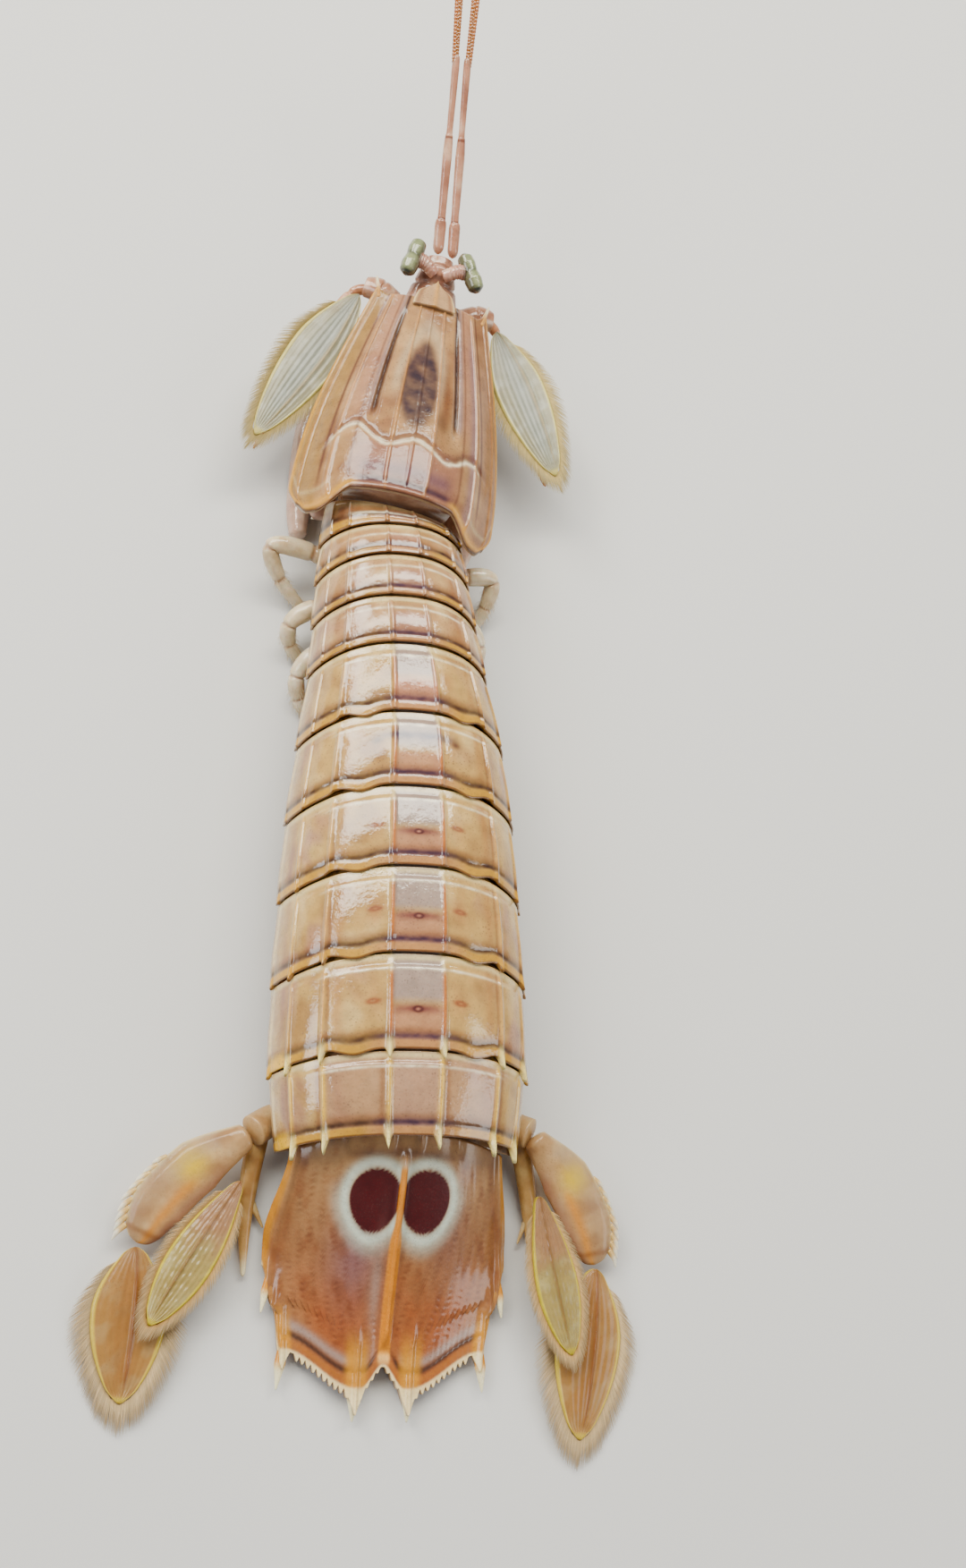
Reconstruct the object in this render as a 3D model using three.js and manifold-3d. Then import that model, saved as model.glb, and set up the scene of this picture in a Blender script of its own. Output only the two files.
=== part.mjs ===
// A spot-tail mantis shrimp at life size, lying belly down with its tail fan spread.
// Millimetres, +Z up, the head towards +Y. Lengths along the body are counted from the
// rear margin of the sixth abdominal ring; the finished group is then centred on its footprint.
import * as THREE from "three";
import { mergeVertices } from "three/addons/utils/BufferGeometryUtils.js";
import Module from "manifold-3d";

const wasm = await Module();
wasm.setup();

// Driving dimensions of the trunk
const GAP = 0.35; // clearance between neighbouring pieces
const LIP = 0.5; // thickness of a ring's rear rim
const SOCKET_DEPTH = 1.6; // how far a ring's front neck slides under the rim before it
const RIDGE_HEIGHT = 0.38;
const SUBMEDIAN = 11.7; // places of the ridges round a ring, in degrees from the crown
const INTERMEDIATE = 43;
const LATERAL = 64;
const RIDGE_FOOT = 2.2; // half the angle that a ridge takes up

// Driving dimensions of the forequarters
const CARAPACE_LENGTH = 33;
const CARAPACE_WIDTH = 30;
const CARAPACE_THICKNESS = 0.7;
const FORE_YAW = -0.165; // the head turns a little towards +X
const FORE_PLACE = [-1.8, 85.2, 0];

// Driving dimensions of the tail fan
const TELSON_LENGTH = 30.5;
const TELSON_WIDTH = 31.5;
const TELSON_YAW = -0.03;

const chitin = (color, roughness = 0.35) =>
  new THREE.MeshStandardMaterial({ color, roughness, metalness: 0 });
const shell = chitin(0xb99a7c);
const shellDark = chitin(0xa2775a);
const clearShell = chitin(0xcdb98a);
const palm = chitin(0xc7a392);
const eyeGreen = chitin(0x7f8c62, 0.15);
const limb = chitin(0xe2d5c4);
const feeler = chitin(0xc9945a);

const group = new THREE.Group();
const fore = new THREE.Group();
fore.position.set(...FORE_PLACE);
fore.rotation.z = FORE_YAW;
group.add(fore);

const { sin, cos, abs, sign, max, min, PI } = Math;
const radians = THREE.MathUtils.degToRad;
const mix = THREE.MathUtils.lerp;
const smooth = THREE.MathUtils.smoothstep;

function add(name, geometry, material, parent = group) {
  const mesh = new THREE.Mesh(geometry, material);
  mesh.name = name;
  parent.add(mesh);
  return mesh;
}

// A closed geometry from points and triangles, with its faces turned outwards.
function closed(points, triangles) {
  let volume = 0;
  const [a, b, c] = [new THREE.Vector3(), new THREE.Vector3(), new THREE.Vector3()];
  for (const [i, j, k] of triangles) {
    a.fromArray(points[i]);
    b.fromArray(points[j]);
    c.fromArray(points[k]);
    volume += a.dot(b.cross(c));
  }
  const faces = volume < 0 ? triangles.map(([i, j, k]) => [i, k, j]) : triangles;
  return new THREE.BufferGeometry()
    .setAttribute("position", new THREE.Float32BufferAttribute(points.flat(), 3))
    .setIndex(faces.flat());
}

// Rings of equal count joined in order, each end closed by a fan.
function ringSolid(rings) {
  const n = rings[0].length;
  const points = rings.flat();
  const triangles = [];
  for (let r = 0; r + 1 < rings.length; r++)
    for (let i = 0; i < n; i++) {
      const j = (i + 1) % n;
      const [p, q] = [r * n, (r + 1) * n];
      triangles.push([p + i, p + j, q + j], [p + i, q + j, q + i]);
    }
  for (const [ring, start, turn] of [
    [rings[0], 0, true],
    [rings.at(-1), (rings.length - 1) * n, false],
  ]) {
    const middle = [0, 1, 2].map((k) => ring.reduce((s, p) => s + p[k], 0) / n);
    points.push(middle);
    for (let i = 0; i < n; i++) {
      const j = (i + 1) % n;
      triangles.push(
        turn ? [points.length - 1, start + j, start + i] : [points.length - 1, start + i, start + j],
      );
    }
  }
  return closed(points, triangles);
}

// A plate between two height fields over the same net of parameters, walled round its edge.
function plateSolid(us, vs, above, below) {
  const w = us.length;
  const points = [];
  for (const face of [above, below]) for (const v of vs) for (const u of us) points.push(face(u, v));
  const under = w * vs.length;
  const triangles = [];
  for (let j = 0; j + 1 < vs.length; j++)
    for (let i = 0; i + 1 < w; i++) {
      const [a, b, c, d] = [j * w + i, j * w + i + 1, (j + 1) * w + i + 1, (j + 1) * w + i];
      triangles.push([a, b, c], [a, c, d]);
      triangles.push([under + a, under + c, under + b], [under + a, under + d, under + c]);
    }
  const rim = [];
  for (let i = 0; i < w - 1; i++) rim.push(i);
  for (let j = 0; j < vs.length - 1; j++) rim.push(j * w + w - 1);
  for (let i = w - 1; i > 0; i--) rim.push((vs.length - 1) * w + i);
  for (let j = vs.length - 1; j > 0; j--) rim.push(j * w);
  rim.forEach((p, i) => {
    const q = rim[(i + 1) % rim.length];
    triangles.push([p, under + p, under + q], [p, under + q, q]);
  });
  return closed(points, triangles);
}

function toSolid(geometry) {
  const bare = new THREE.BufferGeometry().setAttribute("position", geometry.getAttribute("position"));
  bare.setIndex(geometry.getIndex());
  const merged = mergeVertices(bare, 1e-4);
  return new wasm.Manifold(
    new wasm.Mesh({
      numProp: 3,
      vertProperties: new Float32Array(merged.getAttribute("position").array),
      triVerts: new Uint32Array(merged.getIndex().array),
    }),
  );
}

// Pieces fused into one closed body; the largest closed surface is kept.
function fuse(geometries) {
  const whole = geometries.map(toSolid).reduce((a, b) => a.add(b));
  const kept = whole.decompose().sort((a, b) => b.volume() - a.volume())[0];
  const mesh = kept.getMesh();
  return new THREE.BufferGeometry()
    .setAttribute("position", new THREE.Float32BufferAttribute(mesh.vertProperties, 3))
    .setIndex([...mesh.triVerts]);
}

const spread = (count, from = 0, to = 1) =>
  Array.from({ length: count }, (_, i) => mix(from, to, i / (count - 1)));

// A tapering tube on a smooth path. Each stop is [x, y, z, half width, half height].
function tube(stops, { steps = 10, sides = 8, floor = -Infinity } = {}) {
  const path = new THREE.CatmullRomCurve3(stops.map((s) => new THREE.Vector3(...s)));
  const size = (t, k) => {
    const at = t * (stops.length - 1);
    const i = min(stops.length - 2, Math.floor(at));
    return mix(stops[i][k], stops[i + 1][k] ?? stops[i][k], at - i);
  };
  const up = new THREE.Vector3(0, 0, 1);
  const rings = spread(steps + 1).map((t) => {
    const middle = path.getPoint(t);
    const along = path.getTangent(t);
    const side = new THREE.Vector3().crossVectors(along, up);
    if (side.length() < 0.1) side.set(1, 0, 0);
    side.normalize();
    const top = new THREE.Vector3().crossVectors(side, along).normalize();
    const [a, b] = [size(t, 3), size(t, 4)];
    return spread(sides + 1, PI / sides, 2 * PI + PI / sides)
      .slice(0, -1)
      .map((g) => {
        const p = middle.clone().addScaledVector(side, a * cos(g)).addScaledVector(top, b * sin(g));
        return [p.x, p.y, max(floor, p.z)];
      });
  });
  return ringSolid(rings);
}

// A slim spine from its root to its tip.
const spine = (root, tip, radius) =>
  tube([[...root, radius, radius], [...tip, 0.12, 0.12]], { steps: 1, sides: 5 });

// ---- trunk rings
// (the outline of a ring seen from behind, sizes taken down by an inset)
const crown = [0, SUBMEDIAN, INTERMEDIATE, LATERAL];
const halfAngles = [
  ...[SUBMEDIAN, INTERMEDIATE, LATERAL].flatMap((a) => [a - RIDGE_FOOT, a, a + RIDGE_FOOT]),
  27,
  90,
].sort((a, b) => a - b);
const domeAngles = [...halfAngles.map((a) => -a).reverse(), 0, ...halfAngles];
const isRidge = (a) => crown.slice(1).includes(abs(a));

function outline({ w, top, edge, belly, sweep, shift = 0, yaw = 0 }, y, inset, ridge, spur = () => 0) {
  const half = w - inset;
  const low = edge + inset * 0.3;
  const rearward = (x) => -sweep * abs(x / half) ** 2.6 - x * Math.tan(yaw);
  const dome = domeAngles.map((a) => {
    const r = radians(a);
    const lift = isRidge(a) ? ridge : 0;
    const x = half * sin(r);
    const z = low + (top - inset - low + lift) * max(0, cos(r)) ** 0.82;
    const back = isRidge(a) ? spur(abs(a)) : 0;
    const clear = back > 0 ? 0.45 : 0;
    return [x * (1 + clear / half) + shift, y + rearward(x) - back, z + clear];
  });
  const under = [
    [half - 0.9 - 0.35 * inset, low - 0.3 + 0.45 * inset],
    [half * 0.74, belly + inset * 0.6],
    [half * 0.3, belly - 0.4 + inset * 0.6],
  ];
  const belowRight = under.map(([x, z]) => [x + shift, y + rearward(x), z]);
  const belowLeft = under.map(([x, z]) => [-x + shift, y + rearward(-x), z]).reverse();
  return [...dome, ...belowRight, ...belowLeft];
}

// Rear margins of the free rings, from the tail forwards: place, half width, height of the
// crown, height of the flank's edge, height of the belly, and how far the flanks sweep back.
const trunk = [
  { name: "abdomen_6", y: 0, w: 15.7, top: 16.4, edge: 5.6, belly: 6.2, sweep: 1.4 },
  { name: "abdomen_5", y: 10.4, w: 17.0, top: 18.4, edge: 6.2, belly: 7.0, sweep: 2.2 },
  { name: "abdomen_4", y: 22.5, w: 16.9, top: 19.2, edge: 6.4, belly: 7.2, sweep: 3.2 },
  { name: "abdomen_3", y: 33.7, w: 16.3, top: 19.4, edge: 6.6, belly: 7.3, sweep: 3.4 },
  { name: "abdomen_2", y: 44.4, w: 15.6, top: 19.2, edge: 6.8, belly: 7.3, sweep: 3.4 },
  { name: "abdomen_1", y: 54.6, w: 14.3, top: 18.8, edge: 7.2, belly: 7.4, sweep: 3.2 },
  { name: "thorax_8", y: 64.3, w: 12.5, top: 18.2, edge: 7.8, belly: 7.4, sweep: 2.8 },
  { name: "thorax_7", y: 71.2, w: 11.6, top: 17.7, edge: 8.0, belly: 7.4, sweep: 2.6 },
  { name: "thorax_6", y: 77.4, w: 10.9, top: 17.2, edge: 8.0, belly: 7.4, sweep: 2.4 },
  { name: "thorax_5", y: 82.2, w: 10.2, top: 16.2, edge: 8.2, belly: 7.4, sweep: 1.6 },
];
const frontOfTrunk = { y: 85.4, w: 9.4, top: 15.0, edge: 8.4, belly: 7.4, sweep: 0, yaw: -FORE_YAW };
trunk.forEach((s) => (s.shift = -1.5 * smooth(s.y, 50, 86)));
frontOfTrunk.shift = -1.7;

// Spurs at the rear ends of the ridges
const spurs = {
  abdomen_6: () => 1.7,
  abdomen_5: () => 1.3,
  abdomen_4: (a) => (a === SUBMEDIAN ? 0 : 0.7),
};

function ringPiece(here, ahead) {
  const last = ahead === frontOfTrunk;
  const back = (inset, y, ridge, spur) => outline(here, y, inset, ridge, spur);
  const front = (inset, y, ridge) => outline(ahead, y, inset, ridge);
  const waist = (t, ridge) => {
    const section = {};
    for (const k of ["w", "top", "edge", "belly", "sweep", "shift"]) section[k] = mix(here[k], ahead[k], t);
    section.yaw = mix(0, ahead.yaw ?? 0, t);
    return outline(section, mix(here.y, ahead.y, t), 0.15, ridge);
  };
  return ringSolid([
    back(2 * LIP, here.y + SOCKET_DEPTH, 0),
    back(LIP, here.y, 0),
    back(0, here.y - 0.05, RIDGE_HEIGHT, spurs[here.name]),
    waist(0.6, RIDGE_HEIGHT),
    front(0.25, ahead.y - GAP - 0.1, 0),
    ...(last ? [] : [front(2.2 * LIP, ahead.y - GAP, 0), front(3.4 * LIP, ahead.y + SOCKET_DEPTH - 2 * GAP, 0)]),
  ]);
}
trunk.forEach((here, i) => {
  const ahead = trunk[i + 1] ?? frontOfTrunk;
  const material = here.name.startsWith("abdomen") ? shell : shellDark;
  add(here.name, ringPiece(here, ahead), material);
});

// ---- telson
// (across: -1 to 1; along: 0 at the front to 1 at the rear margin)
const TEETH = [
  { at: 0.24, reach: 3.6, half: 0.045 },
  { at: 0.9, reach: 3.4, half: 0.045 },
];
const denticles = [0.36, 0.47, 0.58, 0.69].map((at) => ({ at, reach: 0.8, half: 0.022 }));
const cusps = [...TEETH, ...denticles];
const telsonHalf = [
  0.035, 0.1, 0.8, 1,
  ...cusps.flatMap(({ at, half }) => [at - half, at, at + half]),
].sort((a, b) => a - b);
const telsonAcross = [...telsonHalf.map((u) => -u).reverse(), 0, ...telsonHalf];

// How far behind the ring's margin the rear edge lies at a place across.
function telsonRear(u) {
  const a = abs(u);
  const cusp = cusps.find((c) => c.at === a);
  const notch = 2.9 * (1 - smooth(a, 0, 0.2));
  const shoulder = 4.6 * smooth(a, 0.24, 0.9) + 5 * smooth(a, 0.92, 1);
  return TELSON_LENGTH - notch - shoulder + (cusp ? cusp.reach : 0);
}
const telsonWidth = (v) => {
  const lateralTooth = 0.9 * Math.exp(-(((v - 0.72) / 0.05) ** 2));
  return TELSON_WIDTH / 2 * (0.88 + 0.12 * smooth(v, 0, 0.45) - 0.1 * smooth(v, 0.72, 1)) + lateralTooth;
};
function telsonPoint(u, v) {
  const x = u * telsonWidth(v);
  const y = -mix(1.9 * abs(u) ** 2.6 - 0.55, telsonRear(u), v);
  const crest = mix(14.2, 2.6, smooth(v, -0.25, 1.05));
  const median = 1.1 * Math.exp(-((u / 0.035) ** 2)) * smooth(v, 0.06, 0.16) * (1 - smooth(v, 0.84, 0.93));
  const rim = mix(7.2, 1.5, smooth(v, 0, 0.6));
  return [x, y, rim + (crest - rim) * (1 - abs(u) ** 2.3) + median];
}
add(
  "telson",
  plateSolid(
    telsonAcross,
    [0, 0.12, 0.32, 0.52, 0.67, 0.72, 0.77, 0.93, 1],
    telsonPoint,
    (u, v) => {
      const [x, y, z] = telsonPoint(u, v);
      const thick = mix(mix(5.6, 1.8, smooth(v, 0, 1)), 0.8, abs(u) ** 2);
      return [x, y, max(0, min(z - 0.6, z - thick))];
    },
  ),
  shellDark,
).rotation.z = TELSON_YAW;

// ---- leaf-shaped plates
// Local frame: root at the origin, blade along +X, its width along Y, its upper face towards
// +Z. fringe is how far the thin edge of bristles goes beyond the hard plate.
function leaf({ length, width, thickness, fringe = 0, camber = 0, belly = 0.45, teeth = 0 }) {
  const us = spread(7, -1, 1);
  const bands = fringe ? [-1, -0.78, ...us.slice(1, -1).map((u) => u * 0.74), 0.78, 1] : us;
  const vs = [0, 0.07, 0.18, 0.34, 0.5, 0.66, 0.82, 0.94, 1];
  const half = (v) => {
    const rise = min(1, v / belly);
    const fall = max(0, (v - belly) / (1 - belly));
    return (width / 2) * max(0.06, v < belly ? 0.2 + 0.8 * sin((rise * PI) / 2) : cos((fall * PI) / 2) ** 0.75);
  };
  const place = (u, v, up) => {
    const y = u * half(v);
    const notch = teeth && abs(u) === 1 ? (Math.round(v * 20) % 2 ? teeth : -teeth) : 0;
    const hard = (1 - abs(u) ** 3) * (1 - v ** 6);
    const arch = camber * (1 - u * u) * sin(PI * min(1, v + 0.08));
    const t = 0.28 + (thickness / 2 - 0.28) * hard;
    return [v * length, y + notch * sign(u), arch + (up ? t : -t)];
  };
  return plateSolid(bands, vs, (u, v) => place(u, v, true), (u, v) => place(u, v, false));
}

// Lays a leaf with its root and tip at two points; roll turns it about its own length.
function layLeaf(mesh, root, tip, roll = 0) {
  const [a, b] = [new THREE.Vector3(...root), new THREE.Vector3(...tip)];
  const along = b.sub(a).normalize();
  const across = new THREE.Vector3(0, 0, 1).cross(along).normalize();
  const up = new THREE.Vector3().crossVectors(along, across);
  mesh.quaternion.setFromRotationMatrix(new THREE.Matrix4().makeBasis(along, across, up));
  mesh.rotateX(roll);
  mesh.position.copy(a);
  return mesh;
}

const distance = (a, b) => new THREE.Vector3(...a).distanceTo(new THREE.Vector3(...b));

// ---- tail fan: a forked base, a two-part outer blade and an inner blade on each side
const fans = {
  left: {
    side: -1,
    root: [-12.4, 4.0, 4.1],
    knee: [-18.4, 1.2, 5.2],
    outer: [-32.0, -10.8, 2.6],
    padTip: [-33.4, -32.8, 0.8],
    inner: [-19.6, -5.0, 4.4],
    innerTip: [-31.2, -23.6, 3.9],
    fork: [-18.6, -16.5, 1.6],
    roll: 0.12,
  },
  right: {
    side: 1,
    root: [12.4, 3.6, 4.1],
    knee: [18.4, 1.4, 5.2],
    outer: [27.8, -13.6, 2.6],
    padTip: [25.2, -38.6, 0.8],
    inner: [19.4, -6.6, 4.6],
    innerTip: [24.0, -28.0, 4.0],
    fork: [19.8, -18.5, 1.6],
    roll: -0.12,
  },
};
const toward = (a, b, d) => {
  const [p, q] = [new THREE.Vector3(...a), new THREE.Vector3(...b)];
  return p.addScaledVector(q.clone().sub(p).normalize(), d).toArray();
};
for (const [name, f] of Object.entries(fans)) {
  const { side } = f;
  const forkMiddle = [mix(f.knee[0], f.fork[0], 0.5), mix(f.knee[1], f.fork[1], 0.5), 1.9];
  add(
    `uropod_base_${name}`,
    fuse([
      tube([
        [...f.root, 1.7, 1.4],
        [mix(f.root[0], f.knee[0], 0.55), mix(f.root[1], f.knee[1], 0.4), 3.4, 2.0, 1.5],
        [...f.knee, 2.1, 1.6],
      ], { steps: 5 }),
      tube([
        [f.knee[0] - side * 1.2, f.knee[1] + 1, 3.4, 1.5, 1.2],
        [forkMiddle[0], forkMiddle[1], 1.5, 1.1, 0.7],
        [...f.fork.slice(0, 2), 0.9, 0.3, 0.3],
      ], { steps: 7, sides: 6, floor: 0 }),
      spine([f.fork[0] - side * 0.2, forkMiddle[1] + 1.5, 1.5], [f.fork[0] - side * 2.4, f.fork[1] + 6, 1.1], 0.7),
    ]),
    clearShell,
  );
  // The first part of the outer blade carries a row of movable spines along its outer edge.
  const start = toward(f.knee, f.outer, 1.7);
  const armSpines = spread(8, 0.5, 0.98).map((t) => {
    const root = [mix(start[0], f.outer[0], t) + side * 0.9, mix(start[1], f.outer[1], t) - 0.2, mix(start[2], f.outer[2], t)];
    return spine(root, [root[0] + side * (1.3 + 0.5 * t), root[1] - 2.0 - 1.3 * t, root[2] - 0.2], 0.42);
  });
  add(
    `uropod_outer_${name}`,
    fuse([
      tube([
        [...start, 1.5, 1.3],
        [mix(start[0], f.outer[0], 0.5) + side * 0.9, mix(start[1], f.outer[1], 0.5) + 0.8, 4.2, 3.6, 1.2],
        [...f.outer, 3.0, 0.9],
      ], { steps: 6 }),
      ...armSpines,
    ]),
    clearShell,
  );
  const padRoot = toward(f.outer, f.padTip, 2.9);
  layLeaf(
    add(
      `uropod_pad_${name}`,
      leaf({ length: distance(padRoot, f.padTip), width: 11.6, thickness: 1.2, fringe: 1, teeth: 0.25, belly: 0.42 }),
      clearShell,
    ),
    padRoot,
    f.padTip,
    f.roll,
  );
  layLeaf(
    add(
      `uropod_inner_${name}`,
      leaf({ length: distance(f.inner, f.innerTip), width: 7.4, thickness: 1.3, fringe: 1, teeth: 0.2, belly: 0.55 }),
      clearShell,
    ),
    f.inner,
    f.innerTip,
    f.roll,
  );
}

// ---- carapace, in the forequarters' own frame: rear margin at y 0, front margin at its length
const carapaceHalf = (v) => {
  const widest = CARAPACE_WIDTH / 2;
  return widest * (0.55 + 0.43 * sin((PI / 2) * min(1, v / 0.9)) - 0.12 * smooth(v, 0.9, 1.05));
};
function carapaceHeight(x, y) {
  const spine0 = mix(18.6, 14.4, smooth(y, 2, CARAPACE_LENGTH + 4));
  return spine0 - 9.6 * (abs(x) / (CARAPACE_WIDTH / 2)) ** 2.2;
}
const carapaceRidges = [0.2, 0.7, 0.92];
const carapaceHalves = [
  0.08,
  0.31,
  0.42,
  0.56,
  0.81,
  1,
  ...carapaceRidges.flatMap((u) => [u - 0.03, u, u + 0.03]),
].sort((a, b) => a - b);
const carapaceAcross = [...carapaceHalves.map((u) => -u).reverse(), 0, ...carapaceHalves];
function carapacePoint(u, v) {
  const a = abs(u);
  const x = u * carapaceHalf(v);
  const corner = 1.2 * smooth(a, 0.8, 1) * (1 - v);
  const lobe = 3.4 * smooth(a, 0.5, 0.82) - 1.5 * smooth(a, 0.85, 1) ** 2;
  const y = mix(CARAPACE_LENGTH + corner, -lobe, v);
  const ridge = carapaceRidges.includes(a) || u === 0 ? RIDGE_HEIGHT : 0;
  const groove = -0.55 * Math.exp(-(((a - 0.31) / 0.05) ** 2)) * smooth(v, 0.05, 0.3) * (1 - smooth(v, 0.7, 0.9));
  return [x, y, carapaceHeight(x, y) + ridge * (1 - smooth(v, 0.9, 1)) + groove];
}
const rostralPlate = plateSolid(
  spread(7, -1, 1),
  spread(5),
  (u, v) => [u * mix(3.1, 1.6, v ** 1.5), CARAPACE_LENGTH - 1.4 + 4.6 * v - 0.8 * abs(u) * v, 15.4 - 0.9 * v - 0.5 * u * u],
  (u, v) => [u * mix(3.1, 1.6, v ** 1.5), CARAPACE_LENGTH - 1.4 + 4.6 * v - 0.8 * abs(u) * v, 14.5 - 0.9 * v - 0.5 * u * u],
);
const shieldSpines = [-1, 1].map((s) =>
  spine(
    [s * (carapaceHalf(0) - 0.7), CARAPACE_LENGTH - 0.6, carapaceHeight(carapaceHalf(0) - 0.7, CARAPACE_LENGTH) - 0.35],
    [s * (carapaceHalf(0) + 0.2), CARAPACE_LENGTH + 3.4, carapaceHeight(carapaceHalf(0), CARAPACE_LENGTH) - 0.5],
    0.5,
  ),
);
add(
  "carapace",
  fuse([
    plateSolid(carapaceAcross, spread(10), carapacePoint, (u, v) => {
      const [x, y, z] = carapacePoint(u, v);
      return [x, y, min(z, carapaceHeight(x, y) - 0.55 * (1 - v) * v) - CARAPACE_THICKNESS];
    }),
    rostralPlate,
    ...shieldSpines,
  ]),
  shell,
  fore,
);

// The body under the shield, from the neck to the mouth
const underShield = (x, y) => carapaceHeight(x, y) - CARAPACE_THICKNESS - 0.55 - GAP;
const coreRing = (y, half, low) => {
  const dome = spread(11, -1, 1).map((u) => [u * half, y, underShield(u * half, y) - 0.5 * abs(u) ** 4]);
  const under = [0.8, 0.3, -0.3, -0.8].map((u) => [u * half, y, low + 0.5 * abs(u)]);
  return [...dome, ...under];
};
add(
  "forebody",
  ringSolid([
    coreRing(0.75, 7.6, 8.2),
    coreRing(4, 8.6, 7.4),
    coreRing(12, 8.6, 6.6),
    coreRing(21, 7.4, 6.2),
    coreRing(28, 6.2, 6.6),
    coreRing(CARAPACE_LENGTH - 1, 5.4, 8.0),
  ]),
  shellDark,
  fore,
);

// ---- head, eyes and feelers
const HEAD_FRONT = CARAPACE_LENGTH + 8.2;
// Each antenna's whip is swept back under the scale.
const whipPath = {
  left: [[14.8, 24, 4.9], [18.0, 15, 4.3], [20.2, 8.5, 3.8]],
  right: [[16.8, 24.5, 4.9], [20.0, 18.5, 4.3], [22.6, 14.5, 3.9]],
};
add(
  "head",
  tube([
    [0, CARAPACE_LENGTH, 10.6, 4.2, 2.4],
    [0, CARAPACE_LENGTH + 3.4, 11.2, 3.4, 2.0],
    [0, HEAD_FRONT - 2, 12.2, 2.5, 1.7],
    [0, HEAD_FRONT, 12.6, 1.9, 1.4],
  ], { steps: 6, sides: 10 }),
  shellDark,
  fore,
);
for (const [name, s] of [["left", -1], ["right", 1]]) {
  const stalkRoot = [s * 0.95, CARAPACE_LENGTH + 4.6, 14.3];
  const eyeMiddle = [s * 4.25, CARAPACE_LENGTH + 5.6, 15.2];
  add(
    `eyestalk_${name}`,
    tube([[...stalkRoot, 0.8, 0.75], [s * 2.3, CARAPACE_LENGTH + 5.4, 14.8, 1.0, 0.95]], { steps: 2 }),
    palm,
    fore,
  );
  const eye = add(`eye_${name}`, tube([
    [0, -3.1, 0, 0.5, 0.5],
    [0, -2.5, 0, 1.15, 1.15],
    [0, -1.3, 0, 1.3, 1.35],
    [0, 0, 0, 1.1, 1.15],
    [0, 1.3, 0, 1.25, 1.3],
    [0, 2.4, 0, 1.1, 1.1],
    [0, 3.0, 0, 0.45, 0.45],
  ], { steps: 12, sides: 10 }), eyeGreen, fore);
  eye.position.set(...eyeMiddle);
  eye.rotation.z = s < 0 ? -0.2 : 0.5;
  // The antennule: three jointed segments, then three whips
  const rise = (y) => 12.9 + 0.42 * (y - HEAD_FRONT);
  const sway = (y) => 0.2 - 0.165 * (y - HEAD_FRONT - 2.3);
  const bead = (x, y, r) => [s * x + sway(y), y, rise(y), r, r * 0.9];
  const [y0, y1, y2, y3] = [HEAD_FRONT + GAP, HEAD_FRONT + 5, HEAD_FRONT + 15.5, HEAD_FRONT + 26];
  const stalk = tube([
    bead(1.1, y0, 0.8), bead(1.05, y1 - 0.8, 0.85), bead(1.0, y1, 0.6), bead(0.98, y1 + 1.4, 0.58),
    bead(0.95, y2 - 2.4, 0.7), bead(0.92, y2, 0.58), bead(0.9, y2 + 1.2, 0.45), bead(0.85, y3 - 2, 0.56),
    bead(0.82, y3 - 0.4, 0.5), bead(0.82, y3, 0.34),
  ], { steps: 18, sides: 7 });
  const whips = [[0.5, 0.3, 24], [1.1, 0.6, 30], [2.1, 1.5, 27]].map(([from, to, long]) =>
    tube([
      [s * (0.7 + from * 0.2) + sway(y3 - 1.4), y3 - 1.4, rise(y3 - 1.4), 0.32, 0.32],
      [s * (0.75 + (from + to) * 0.25) + sway(y3 + long * 0.4), y3 + long * 0.4, rise(y3) + long * 0.16, 0.3, 0.3],
      [s * (0.7 + to * 0.9) + sway(y3 + long), y3 + long, rise(y3) + long * 0.3, 0.22, 0.22],
    ], { steps: 5, sides: 4 }),
  );
  add(`antennule_${name}`, fuse([stalk, ...whips]), feeler, fore);
  // The antenna: a stout base that carries the broad scale, and a whip below it
  const baseRoot = [s * 5.0, CARAPACE_LENGTH - 0.2 + 1.6, 8.8];
  const hinge = s < 0 ? [-9.6, CARAPACE_LENGTH + 2.9, 8.6] : [9.6, CARAPACE_LENGTH + 2.9, 8.6];
  add(
    `antenna_${name}`,
    fuse([
      tube([
        [...baseRoot, 1.7, 1.7],
        [mix(baseRoot[0], hinge[0], 0.55), CARAPACE_LENGTH + 2.6, 9.0, 1.9, 1.7],
        [...hinge, 1.5, 1.3],
      ], { steps: 5 }),
      tube([
        [s * 6.2, CARAPACE_LENGTH + 2.6, 8.0, 1.0, 1.0],
        [s * 10.4, CARAPACE_LENGTH + 3.2, 6.6, 0.8, 0.8],
        [s * 13.3, 31.5, 5.5, 0.62, 0.62],
        ...whipPath[name].map(([x, y, z], i) => [s * x, y, z, 0.5 - 0.11 * i, 0.5 - 0.11 * i]),
      ], { steps: 13, sides: 6 }),
    ]),
    feeler,
    fore,
  );
  const scaleTip = s < 0 ? [-21.4, 6.4, 8.2] : [23.8, 12.7, 8.2];
  const scaleRoot = toward(hinge, scaleTip, 1.9);
  layLeaf(
    add(
      `antennal_scale_${name}`,
      leaf({ length: distance(scaleRoot, scaleTip), width: 9.4, thickness: 1.1, fringe: 1, teeth: 0.25, belly: 0.4 }),
      clearShell,
      fore,
    ),
    scaleRoot,
    scaleTip,
    s * 0.1,
  );
}

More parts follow.
